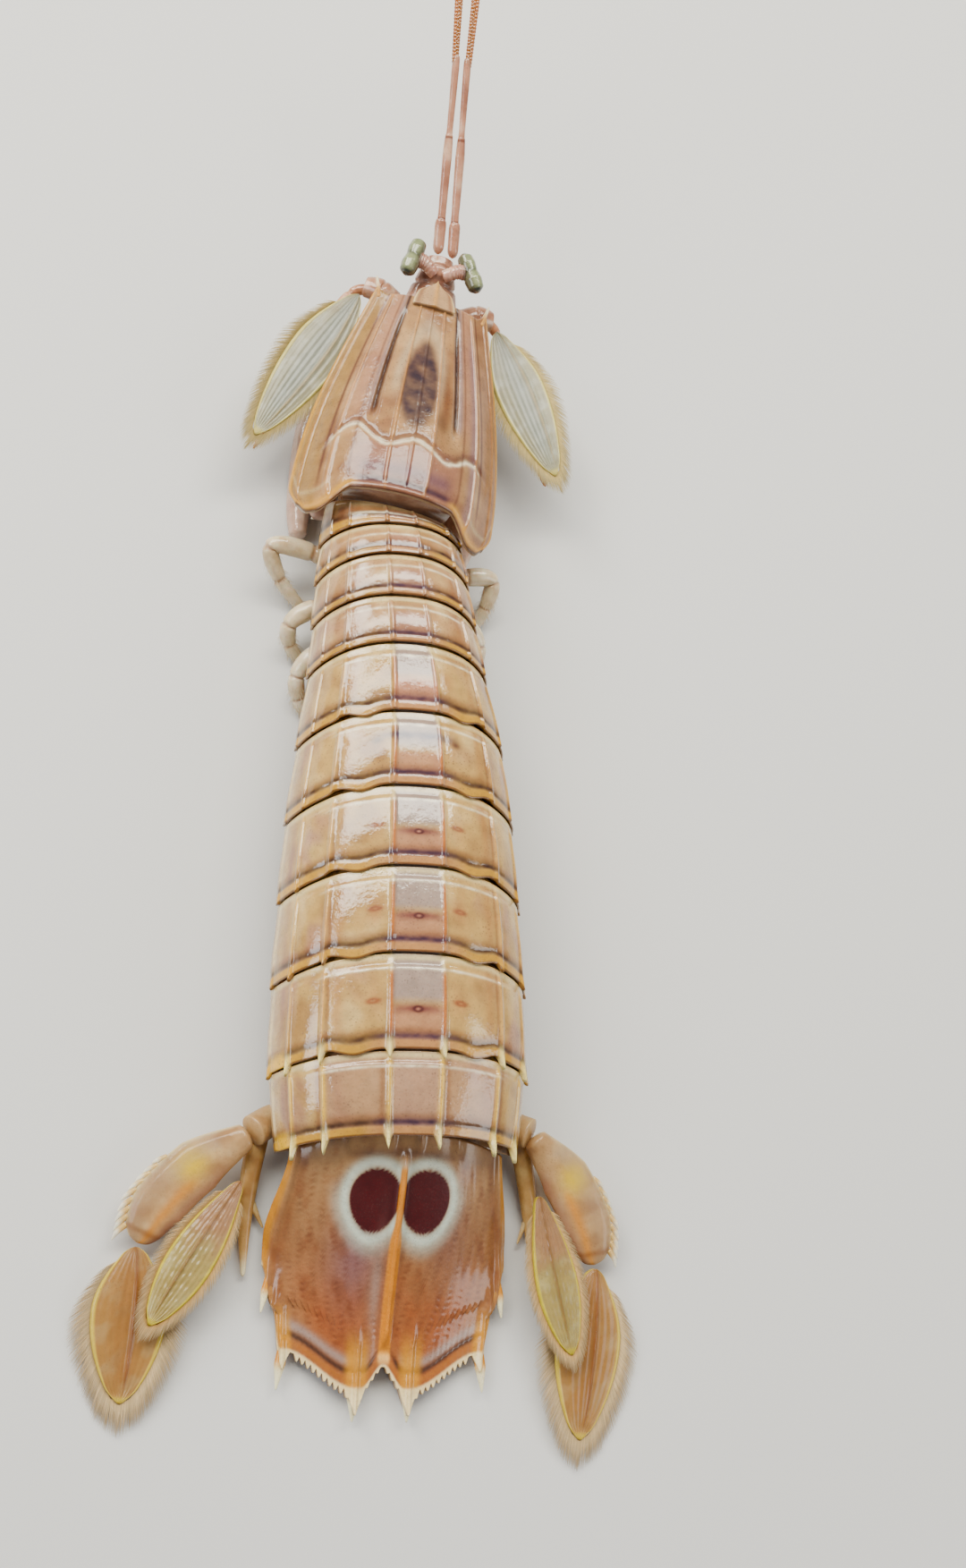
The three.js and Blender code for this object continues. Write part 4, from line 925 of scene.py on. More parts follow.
padLook = dict(
    base="c49c60", light="d8bc88", centre="b98a50", rim="e6d160", ribCode="a0662e", bristle="e2cba2",
    bristleTip="f0dfbf", fringe=3.4, clear=0.5, rib=0.15,
)
innerLook = dict(
    base="c0ae72", light="d6cb98", centre="b3a066", rim="dece4a", ribCode="a07c48", bristle="dcb878",
    bristleTip="f0dfbc", fringe=1.9, clear=0.25, rib=-0.1, pebble=0.05, front="bc9474",
)
scaleLook = dict(
    base="b6b296", light="d9d9c8", centre="a9b0aa", rim="e6dc96", ribCode="cbb88a", bristle="d8c48a",
    bristleTip="ece0b8", fringe=2.6, clear=0.5, rib=0.35,
)
fans = {
    "left": dict(
        side=-1, root=(-12.4, 4.0, 4.1), knee=(-18.4, 1.2, 5.2), outer=(-32.0, -10.8, 2.6),
        padTip=(-33.4, -32.8, 0.8),
        inner=(-19.6, -5.0, 4.4), innerTip=(-31.2, -23.6, 3.9), fork=(-18.6, -16.5, 1.6), roll=0.12,
    ),
    "right": dict(
        side=1, root=(12.4, 3.6, 4.1), knee=(18.4, 1.4, 5.2), outer=(27.8, -13.6, 2.6), padTip=(25.2, -38.6, 0.8),
        inner=(19.4, -6.6, 4.6), innerTip=(24.0, -28.0, 4.0), fork=(19.8, -18.5, 1.6), roll=-0.12,
    ),
}


# The point at distance d from a toward b: a + d (b - a) / |b - a|.
def toward(a, b, d):
    a, b = np.array(a, float), np.array(b, float)
    return a + (b - a) / np.linalg.norm(b - a) * d


# The same between two places in space.
def along3(a, b, t):
    return tuple(mix(np.array(a, float), np.array(b, float), t))


# A base colour with lighter and darker clouds.
def barkTint(rings, base, light, dark, seed, scale=4.0):
    w = wobble(rings, scale, seed)
    tint = np.broadcast_to(linear(base), rings.shape).copy()
    tint = blendIn(tint, light, 0.6 * ramp(w, 0, 0.9))
    return blendIn(tint, dark, 0.5 * ramp(-w, 0, 0.9))


for name, f in fans.items():
    side = f["side"]
    forkMiddle = (mix(f["knee"][0], f["fork"][0], 0.5), mix(f["knee"][1], f["fork"][1], 0.5), 1.5)
    base = Gather()
    rings, t, g = tubeRings(
        [
            (*f["root"], 1.7, 1.4),
            (mix(f["root"][0], f["knee"][0], 0.55), mix(f["root"][1], f["knee"][1], 0.4), 3.4, 2.0, 1.5),
            (*f["knee"], 2.1, 1.6),
        ],
        shape=lambda t, g: 1 + 0.08 * hump(np.cos(g), 0.0, 0.3) * np.sin(math.pi * t),
    )
    base.loft(rings, barkTint(rings, "d2b284", "e4cda0", "ae8458", 51))
    rings, t, g = tubeRings(
        [
            (f["knee"][0] - side * 1.2, f["knee"][1] + 1, 3.4, 1.5, 1.2),
            (*forkMiddle[:2], 1.5, 1.1, 0.7),
            (f["fork"][0], f["fork"][1], 0.9, 0.25, 0.25),
        ],
        rows=80,
        floor=0.05,
    )
    tint = barkTint(rings, "d2ae74", "e6ca90", "a87842", 52)
    tint = blendIn(tint, "f2e8c8", ramp(t, 0.8, 0.97)[:, None] * np.ones(len(g)))
    base.loft(rings, tint)
    rings, t, g = tubeRings(
        [
            (f["fork"][0] - side * 0.2, forkMiddle[1] + 1.5, 1.5, 0.7, 0.7),
            (f["fork"][0] - side * 2.4, f["fork"][1] + 6, 1.1, 0.12, 0.12),
        ],
        rows=30,
        sides=12,
    )
    base.loft(rings, barkTint(rings, "e0c48c", "f2e8c8", "b88a50", 53))
    base.make("uropodBase" + name.title(), bladeMaterial, "blade", ["uropod_base_" + name])
    start = toward(f["knee"], f["outer"], 0.5)
    arm = Gather()
    quarter = (mix(start[0], f["outer"][0], 0.4) + side * 0.9, mix(start[1], f["outer"][1], 0.4) + 0.8, 4.3)
    late = (mix(start[0], f["outer"][0], 0.78) + side * 0.6, mix(start[1], f["outer"][1], 0.78) + 0.4, 3.4)
    armEnd = toward(f["outer"], f["padTip"], 1.6)
    armStops = [(*start, 1.6, 1.3), (*quarter, 3.5, 1.2), (*late, 3.5, 1.0), (*armEnd, 1.9, 0.8)]
    rings, t, g = tubeRings(
        armStops,
        rows=110, sides=56,
        shape=lambda t, g: (1 + 0.16 * hump(np.cos(g), -0.55 * side, 0.16) * np.sin(math.pi * t))
        * np.sqrt(1 - 0.85 * ((t - 0.86) / 0.14).clip(0, 1) ** 2),
    )
    tint = barkTint(rings, "cbab80", "dfc8a0", "a87e58", 54)
    sideways = rings[55, 0] - rings[55].mean(0)
    outward = np.cos(g)[None, :] * (1 if sideways[0] * side > 0 else -1)
    tint = blendIn(tint, "a97c66", 0.7 * hump(outward, -0.9, 0.3) * ramp(t, 0.1, 0.3)[:, None])
    tint = blendIn(tint, "dca252", 0.9 * hump(outward, -0.35, 0.2) * ramp(t, 0.34, 0.46)[:, None])
    tint = blendIn(tint, "e8cc2a", 0.95 * hump(outward, 0.2, 0.5) * hump(t, 0.36, 0.09)[:, None])
    tint = blendIn(tint, "efe2bc", 0.8 * hump(outward, 1.0, 0.12) * np.ones((len(t), 1)))
    tint = blendIn(tint, "9a6430", 0.6 * hump(t, 0.9, 0.03)[:, None] * np.ones(len(g)))
    glassy = 0.45 * ramp(outward, -0.1, 0.3) * ramp(outward, 1.0, 0.9) * ramp(t, 0.08, 0.2)[:, None] * np.ones(len(g))
    arm.loft(rings, tint, clear=glassy)
    centre, way, edgeWay, _, size, _ = curveThrough(armStops, 110)
    halfWidth = size[:, 0]
    outEdge = np.where((edgeWay[:, :1] * side) > 0, edgeWay, -edgeWay)
    for k in range(9):
        s = mix(0.44, 0.9, k / 8)
        at = int(s * 109)
        root = (centre[at] + outEdge[at] * halfWidth[at] * 0.93).tolist()
        tip = (np.array(root) + way[at] * (1.6 + 1.0 * s) + outEdge[at] * 0.75).tolist()
        tip[2] -= 0.2
        mid = along3(root, tip, 0.5)
        rings, t, g = tubeRings(
            [(*root, 0.42, 0.38), (mid[0] + side * 0.25, mid[1], mid[2], 0.34, 0.3), (*tip, 0.1, 0.1)],
            rows=24,
            sides=12,
        )
        whiter = ramp(t, 0.2, 0.6)[:, None] * np.ones(12)
        tint = blendIn(np.broadcast_to(linear("e6c98a"), rings.shape), "fbf6e6", whiter)
        arm.loft(rings, tint)
    arm.make("uropodOuter" + name.title(), bladeMaterial, "blade", ["uropod_outer_" + name])
    makeLeaf(
        "uropodPad" + name.title(), toward(f["outer"], f["padTip"], 2.1), f["padTip"], f["roll"],
        11.6, 1.2, 0.42, padLook,
        ["uropod_pad_" + name],
    )
    makeLeaf(
        "uropodInner" + name.title(), f["inner"], f["innerTip"], f["roll"], 7.4, 1.3, 0.55, innerLook,
        ["uropod_inner_" + name],
    )
print("tail fan done")


# Half width of the shield: a quarter sine wave that narrows a little at the back.
def carapaceHalf(v):
    widest = shieldShape["width"] / 2
    return widest * (0.55 + 0.43 * np.sin(math.pi / 2 * np.minimum(1, v / 0.9)) - 0.12 * ramp(v, 0.9, 1.05))


# Height of the bare shield: the crown's height less 9.6 times (x / half width) to the 2.2.
def carapaceHeight(x, y):
    crown = mix(18.6, 14.4, ramp(y, 2, shieldShape["length"] + 4))
    return crown - 9.6 * (np.abs(x) / (shieldShape["width"] / 2)) ** 2.2


# The shield's surface: its height with keels, two grooves, one crossing groove and a rolled rim.
def carapaceTop(u, v):
    a = np.abs(u)
    x = u * carapaceHalf(v)
    corner = 1.2 * ramp(a, 0.8, 1) * (1 - v)
    lobe = 3.4 * ramp(a, 0.5, 0.82) - 1.5 * ramp(a, 0.85, 1) ** 2
    y = mix(shieldShape["length"] + corner, -lobe, v)
    ridge = 0
    for at, reach in ((0.0, 0.4), (0.2, 0.6), (0.7, 0.9), (0.93, 0.6)):
        ridge = ridge + reach * hump(a, at, 0.018)
    ridge = ringShape["ridgeHeight"] * ridge * (1 - ramp(v, 0.93, 1)) * ramp(v, 0.0, 0.06)
    # two gastric grooves run back from the front corners, and one groove crosses behind them
    groove = -0.6 * hump(a, 0.42, 0.03) * ramp(v, 0.04, 0.2) * (1 - ramp(v, 0.6, 0.7))
    crossing = 0.735 + 0.035 * np.cos(u * 9.5 + 2.6) + 0.03 * np.cos(u * 4 - 0.5)
    cervical = -0.3 * hump(v, crossing, 0.016) * (1 - ramp(a, 0.7, 0.85))
    rimRoll = 0.18 * hump(v, 0.985, 0.012) + 0.14 * hump(a, 0.985, 0.012)
    z = carapaceHeight(x, y) + ridge + groove + cervical + rimRoll
    return np.stack(np.broadcast_arrays(x, y, z), -1)


u = np.linspace(-1, 1, 301)[None, :]
v = np.linspace(0, 1, 150)[:, None]
above = carapaceTop(u, v)
under = carapaceTop(u[:, ::-1][:, 1:-1], v).copy()
bare = carapaceHeight(under[..., 0], under[..., 1])
under[..., 2] = np.minimum(under[..., 2], bare - 0.55 * (1 - v) * v) - shieldShape["thickness"]
outShare = np.broadcast_to(np.abs(u), above.shape[:2])
backShare = np.broadcast_to(v, above.shape[:2])
cloud = wobble(above, 7.5, 61)
fine = wobble(above, 2.4, 62)
u1 = np.broadcast_to(u, above.shape[:2])
tint = np.broadcast_to(linear("b99468"), above.shape).copy()
tint = blendIn(tint, "cfae80", 0.6 * ramp(cloud, 0.0, 0.9))
tint = blendIn(tint, "8a5c40", 0.55 * ramp(-cloud, 0.0, 0.9))
tint = blendIn(tint, "bb8f76", 0.7 * hump(outShare, 0.58, 0.12) * ramp(backShare, 0.75, 0.5))
amount = 0.7 * hump(outShare, 0.66, 0.05) * ramp(backShare, 0.05, 0.2) * ramp(u1, -0.2, 0.3)
tint = blendIn(tint, "9e8084", amount)
tint = blendIn(tint, "a77864", 0.75 * ramp(backShare, 0.74, 0.8) * ramp(outShare, 0.6, 0.45))
tint = blendIn(tint, "b3904e", 0.8 * ramp(outShare, 0.74, 0.84) * ramp(u1, 0.4, -0.4))
tint = blendIn(tint, "a87a56", 0.6 * ramp(outShare, 0.74, 0.84) * ramp(u1, -0.4, 0.4))
# lens-shaped dark patch over the stomach, a brown one beside it and a wavy pale seam behind
lens = np.sqrt(((u1 + 0.01) / 0.22) ** 2 + ((backShare - 0.46) / 0.25) ** 2)
# a painted highlight round the front and sides of the dark lens patch
tint = blendIn(tint, "c9b79a", 0.6 * hump(lens, 1.2, 0.25) * ramp(backShare, 0.6, 0.4))
tint = blendIn(tint, "46303c", 0.97 * ramp(lens, 1.1, 0.7) * (0.85 + 0.2 * fine))
tint = blendIn(tint, "7d4c24", 0.75 * hump(u1, 0.30, 0.07) * hump(backShare, 0.48, 0.2))
tint = blendIn(tint, "5c3416", 0.6 * hump(u1, 0.26, 0.08) * hump(backShare, 0.62, 0.06))
furrow = hump(outShare, 0.42, 0.028) * ramp(backShare, 0.66, 0.58)
tint = blendIn(tint, "a08a8a", 0.7 * hump(outShare, 0.475, 0.03) * ramp(backShare, 0.66, 0.58))
tint = blendIn(tint, "3f2024", 0.9 * furrow)
seam = 0.745 + 0.035 * np.cos(u1 * 9.5 + 2.6) + 0.03 * np.cos(u1 * 4 - 0.5) + 0.006 * fine
tint = blendIn(tint, "7a4c48", 0.5 * hump(backShare, seam - 0.03, 0.02) * ramp(outShare, 0.9, 0.75))
tint = blendIn(tint, "efe6cc", 0.92 * hump(backShare, seam, 0.011) * ramp(outShare, 0.8, 0.7))
tint = blendIn(tint, "7c5a6a", 0.7 * hump(backShare, 0.90, 0.04) * ramp(outShare, 0.5, 0.35))
tint = blendIn(tint, "4e2c42", 0.9 * hump(backShare, 0.957, 0.018) * ramp(outShare, 0.55, 0.4))
amount = 0.8 * hump(outShare, 0.77, 0.014) * ramp(backShare, 0.95, 0.8) + 0.5 * hump(outShare, 0.53, 0.014)
tint = blendIn(tint, "6e4238", amount)
amount = 0.6 * hump(outShare, 0.7, 0.014) + 0.5 * hump(outShare, 0.2, 0.014) + 0.5 * hump(outShare, 0.93, 0.014)
tint = blendIn(tint, "cf9a58", amount)
amount = 0.45 * hump(backShare, 0.915 - 0.05 * ramp(outShare, 0.9, 0.98), 0.01) * ramp(outShare, 0.62, 0.72)
tint = blendIn(tint, "d8c69a", amount)
edge = np.maximum(hump(backShare, 0.975, 0.016) * ramp(outShare, 0.42, 0.55), ramp(outShare, 0.968, 0.985))
tint = blendIn(tint, "d6a53c", 0.9 * edge)
tint = blendIn(tint, "5c3418", 0.85 * ramp(backShare, 0.988, 0.997))
clear = 0.55 * ramp(outShare, 0.7, 0.84) * (1 - ramp(outShare, 0.94, 0.97)) * (0.6 + 0.4 * fine)
shield = Gather()
shield.loft(
    np.concatenate([above, under], 1),
    np.concatenate([tint, np.broadcast_to(linear("d8c2a4"), under.shape)], 1),
    True,
    clear=np.concatenate([clear, np.zeros(under.shape[:2])], 1),
)
# the small plate in front between the eyes, with a low keel
u = np.linspace(-1, 1, 41)[None, :]
v = np.linspace(0, 1, 50)[:, None]
half = mix(3.1, 2.0, v**1.5) * np.sqrt(np.clip(1 - ((v - 0.62) / 0.38).clip(0, 1) ** 2 * 0.96, 0, 1))
x = u * half
y = shieldShape["length"] - 1.4 + 4.6 * v - 0.8 * np.abs(u) * v
z = 15.4 - 0.9 * v - 0.5 * u * u + 0.18 * hump(u, 0, 0.12) + 0.12 * hump(np.abs(u), 0.94, 0.06)
plate = np.stack(np.broadcast_arrays(x, y, z), -1)
lower = plate[:, ::-1][:, 1:-1].copy()
lower[..., 2] -= 0.9
tint = np.broadcast_to(linear("c2a27c"), plate.shape).copy()
tint = blendIn(tint, "8a5c40", 0.5 * hump(np.broadcast_to(np.abs(u), plate.shape[:2]), 0.78, 0.12))
tint = blendIn(tint, "e2cfa0", 0.7 * ramp(np.maximum(np.abs(u), v), 0.88, 0.95))
tint = blendIn(tint, "d9a85a", 0.6 * hump(np.broadcast_to(u, plate.shape[:2]), 0, 0.12))
shield.loft(np.concatenate([plate, lower], 1), np.concatenate([tint, tint[:, ::-1][:, 1:-1]], 1), True)
for s in (-1, 1):
    edge = float(carapaceHalf(np.float64(0)))
    front = shieldShape["length"]
    rootHeight = float(carapaceHeight(edge - 0.7, front)) - 0.35
    tipHeight = float(carapaceHeight(edge, front)) - 0.5
    rings, t, g = tubeRings(
        [
            (s * (edge - 0.7), front - 0.6, rootHeight, 0.5, 0.5),
            (s * (edge + 0.2), front + 3.4, tipHeight, 0.12, 0.12),
        ],
        rows=30,
        sides=14,
    )
    paler = ramp(t, 0.3, 0.8)[:, None] * np.ones(14)
    shield.loft(rings, blendIn(np.broadcast_to(linear("d0a060"), rings.shape), "f2e6c8", paler))
shieldMaterial = chitin(
    "shield", speckAmount=0.5, mottle=0.6, clearMost=0.5, translucent=0.08, coat=0.7, roughness=0.5
)
shield.make("carapaceShield", shieldMaterial, "shell", ["carapace"], True)


# A section of the body that follows the shield's under side, closed by a grooved belly.
def coreRing(y, half, low):
    a = np.linspace(-1, 1, 81)
    x = a * half
    top = carapaceHeight(x, y) - shieldShape["thickness"] - 0.55 - 0.35 - 0.5 * np.abs(a) ** 4
    b = np.linspace(1, -1, 42)[1:-1]
    groove = 0.25 * np.cos(b * 14)
    bottom = low + 0.5 * np.abs(b) + groove * 0.3
    above = np.stack([x, np.full(81, y), top], -1)
    below = np.stack([b * half, np.full(40, y), bottom], -1)
    return np.concatenate([above, below])


# place along, half width, height of the under side
coreEnd = shieldShape["length"] - 1
stations = [(0.75, 7.6, 8.2), (4, 8.6, 7.4), (12, 8.6, 6.6), (21, 7.4, 6.2), (28, 6.2, 6.6), (coreEnd, 5.4, 8.0)]
ys = np.linspace(0.75, coreEnd, 70)
halves = np.interp(ys, [s[0] for s in stations], [s[1] for s in stations])
lows = np.interp(ys, [s[0] for s in stations], [s[2] for s in stations])
rings = np.stack([coreRing(y, h - 0.12 * (0.5 - 0.5 * math.cos(y * 2.2)), lo) for y, h, lo in zip(ys, halves, lows)])
tint = barkTint(rings, "b98f74", "dcc3a8", "5c3a38", 71, 5.0)
Gather().loft(rings, tint).make("forebodyCore", shellMaterial, "inner_shell", ["forebody"], True)

# Head, eyes and feelers
headFront = shieldShape["length"] + 8.2
shieldFront = shieldShape["length"]
rings, t, g = tubeRings(
    [
        (0, shieldFront, 10.6, 4.2, 2.4), (0, shieldFront + 3.4, 11.2, 3.4, 2.0), (0, headFront - 2, 12.2, 2.5, 1.7),
        (0, headFront, 12.6, 1.9, 1.4),
    ],
    rows=80,
    sides=60,
    shape=lambda t, g: 1 - 0.1 * hump(t, 0.42, 0.03) - 0.08 * hump(t, 0.74, 0.025) + 0.05 * hump(np.sin(g), 1, 0.1),
)
tint = barkTint(rings, "b78c74", "e0c8b0", "6a4238", 72, 3.0)
Gather().loft(rings, tint).make("headBlock", clawMaterial, "inner_shell", ["head"], True)


# Turned about the upright axis and moved: x cos - y sin, x sin + y cos.
def turned(points, angle, place):
    c, s = math.cos(angle), math.sin(angle)
    return points @ np.array([[c, s, 0], [-s, c, 0], [0, 0, 1]]) + np.array(place)


whipPath = dict(
    left=[(14.8, 24, 4.9), (18.0, 15, 4.3), (20.2, 8.5, 3.8)],
    right=[(16.8, 24.5, 4.9), (20.0, 18.5, 4.3), (22.6, 14.5, 3.9)],
)
for name, s in (("left", -1), ("right", 1)):
    label = name.title()
    stalkRoot = (s * 0.6, shieldFront + 4.4, 14.1)
    eyeMiddle = (s * 4.25, shieldFront + 5.6, 15.2)
    rings, t, g = tubeRings(
        [
            (*stalkRoot, 0.85, 0.8),
            (s * 2.3, shieldFront + 5.3, 14.8, 1.05, 1.0),
            (s * 3.6, shieldFront + 5.5, 15.1, 1.3, 1.1),
        ],
        rows=50,
        sides=36,
        shape=lambda t, g: 1 + 0.05 * np.sin(t * 40) * ramp(t, 0.1, 0.3),
    )
    tint = barkTint(rings, "c49a86", "e2c6b2", "8a5a4a", 73, 1.8)
    tint = blendIn(tint, "6a5a4c", 0.7 * ramp(t, 0.8, 0.95)[:, None] * np.ones(len(g)))
    Gather().loft(rings, tint).make("eyestalk" + label, clawMaterial, "claw", ["eyestalk_" + name], True)
    rings, t, g = tubeRings(
        [
            (0, -3.1, 0, 0.5, 0.5), (0, -2.5, 0, 1.15, 1.15), (0, -1.3, 0, 1.3, 1.35), (0, 0, 0, 1.1, 1.15),
            (0, 1.3, 0, 1.25, 1.3), (0, 2.4, 0, 1.1, 1.1), (0, 3.0, 0, 0.45, 0.45),
        ],
        rows=110,
        sides=64,
        roundEnds=False,
    )
    progress = np.broadcast_to(t[:, None], rings.shape[:2])
    roundGrid = np.broadcast_to(g[None, :], rings.shape[:2])
    w = wobble(rings, 1.6, 74)
    tint = np.broadcast_to(linear("76805e"), rings.shape).copy()
    tint = blendIn(tint, "b4b88e", 0.6 * ramp(np.sin(roundGrid), 0.1, 0.9) * (0.8 + 0.3 * w))
    tint = blendIn(tint, "3c4232", 0.55 * hump(progress, 0.5, 0.05))
    tint = blendIn(tint, "20211a", 0.85 * np.maximum(ramp(progress, 0.86, 0.95), ramp(progress, 0.14, 0.05)))
    tint = blendIn(tint, "5a4a3a", 0.6 * ramp(-s * np.cos(roundGrid), 0.1, 0.8))
    eye = Gather().loft(turned(rings, -0.2 if s < 0 else 0.5, eyeMiddle), tint)
    eye.make("eye" + label, eyeMaterial, "cornea", ["eye_" + name], True)
    # the antennule: jointed stalk and three ringed whips
    rise = lambda y: 12.9 + 0.42 * (y - headFront)
    sway = lambda y: 0.2 - 0.165 * (y - headFront - 2.3)
    bead = lambda x, y, r: (s * x + sway(y), y, rise(y), r, r * 0.9)
    y0, y1, y2, y3 = headFront + 0.35, headFront + 5, headFront + 15.5, headFront + 26
    feelers = Gather()
    rings, t, g = tubeRings(
        [
            bead(1.1, y0, 0.8), bead(1.05, y1 - 0.8, 0.85), bead(1.0, y1, 0.6), bead(0.98, y1 + 1.4, 0.58),
            bead(0.95, y2 - 2.4, 0.7), bead(0.92, y2, 0.58), bead(0.9, y2 + 1.2, 0.45), bead(0.85, y3 - 2, 0.56),
            bead(0.82, y3 - 0.4, 0.5), bead(0.82, y3, 0.34),
        ],
        rows=160,
        sides=30,
    )
    tint = barkTint(rings, "c89a80", "e8ccb4", "96604a", 75, 4.0)
    for at in (0.22, 0.55, 0.97):
        tint = blendIn(tint, "7a3f2c", 0.75 * hump(t, at, 0.012)[:, None] * np.ones(len(g)))
    feelers.loft(rings, tint)
    for a, b, long in ((0.5, 0.3, 24), (1.1, 0.6, 30), (2.1, 1.5, 27)):
        mid, end = y3 + long * 0.4, y3 + long
        rings, t, g = tubeRings(
            [
                (s * (0.7 + a * 0.2) + sway(y3 - 1.4), y3 - 1.4, rise(y3 - 1.4), 0.32, 0.32),
                (s * (0.75 + (a + b) * 0.25) + sway(mid), mid, rise(y3) + long * 0.16, 0.3, 0.3),
                (s * (0.7 + b * 0.9) + sway(end), end, rise(y3) + long * 0.3, 0.16, 0.16),
            ],
            rows=260,
            sides=10,
            shape=lambda t, g: 1 + 0.12 * np.cos(t * 2 * math.pi * 52) + 0 * g,
        )
        tint = np.broadcast_to(linear("cf8a34"), rings.shape).copy()
        tint = blendIn(tint, "8a4a1e", 0.55 * (0.5 + 0.5 * np.cos(t * 2 * math.pi * 52))[:, None] * np.ones(10))
        feelers.loft(rings, tint)
    feelers.make("antennule" + label, feelerMaterial, "feeler", ["antennule_" + name], True)
    # the antenna: stout base joints and a whip
    hinge = (s * 9.6, shieldFront + 2.9, 8.6)
    whip = Gather()
    rings, t, g = tubeRings(
        [
            (s * 5.0, shieldFront + 1.4, 8.8, 1.7, 1.7),
            (mix(s * 5.0, hinge[0], 0.55), shieldFront + 2.6, 9.0, 1.9, 1.7),
            (*hinge, 1.5, 1.3),
        ],
        rows=60,
        sides=40,
        shape=lambda t, g: 1 - 0.12 * hump(t, 0.45, 0.03) + 0 * g,
    )
    whip.loft(rings, barkTint(rings, "c4987c", "e6cdb4", "8c5c46", 76, 2.5))
    rings, t, g = tubeRings(
        [
            (s * 6.2, shieldFront + 2.6, 8.0, 1.0, 1.0),
            (s * 10.4, shieldFront + 3.2, 6.6, 0.8, 0.8),
            (s * 13.3, 31.5, 5.5, 0.62, 0.62),
            *[(s * x, y, z, 0.5 - 0.11 * i, 0.5 - 0.11 * i) for i, (x, y, z) in enumerate(whipPath[name])],
        ],
        rows=220,
        sides=16,
        shape=lambda t, g: 1 - 0.25 * hump(t, 0.25, 0.012) - 0.25 * hump(t, 0.5, 0.012)
        + 0.1 * np.cos(t * 2 * math.pi * 60) * ramp(t, 0.5, 0.55) + 0 * g,
    )
    tint = barkTint(rings, "d0a07c", "ead2b8", "a06a48", 77, 3.0)
    tint = blendIn(tint, "c07c30", 0.8 * ramp(t, 0.48, 0.6)[:, None] * np.ones(len(g)))
    whip.loft(rings, tint)
    whip.make("antenna" + label, feelerMaterial, "feeler", ["antenna_" + name], True)
    scaleTip = (-21.4, 6.4, 8.2) if s < 0 else (23.8, 12.7, 8.2)
    makeLeaf(
        "antennalScale" + label, toward(hinge, scaleTip, 1.9), scaleTip, s * 0.1, 9.4, 1.1, 0.4, scaleLook,
        ["antennal_scale_" + name], True,
    )
print("head done")

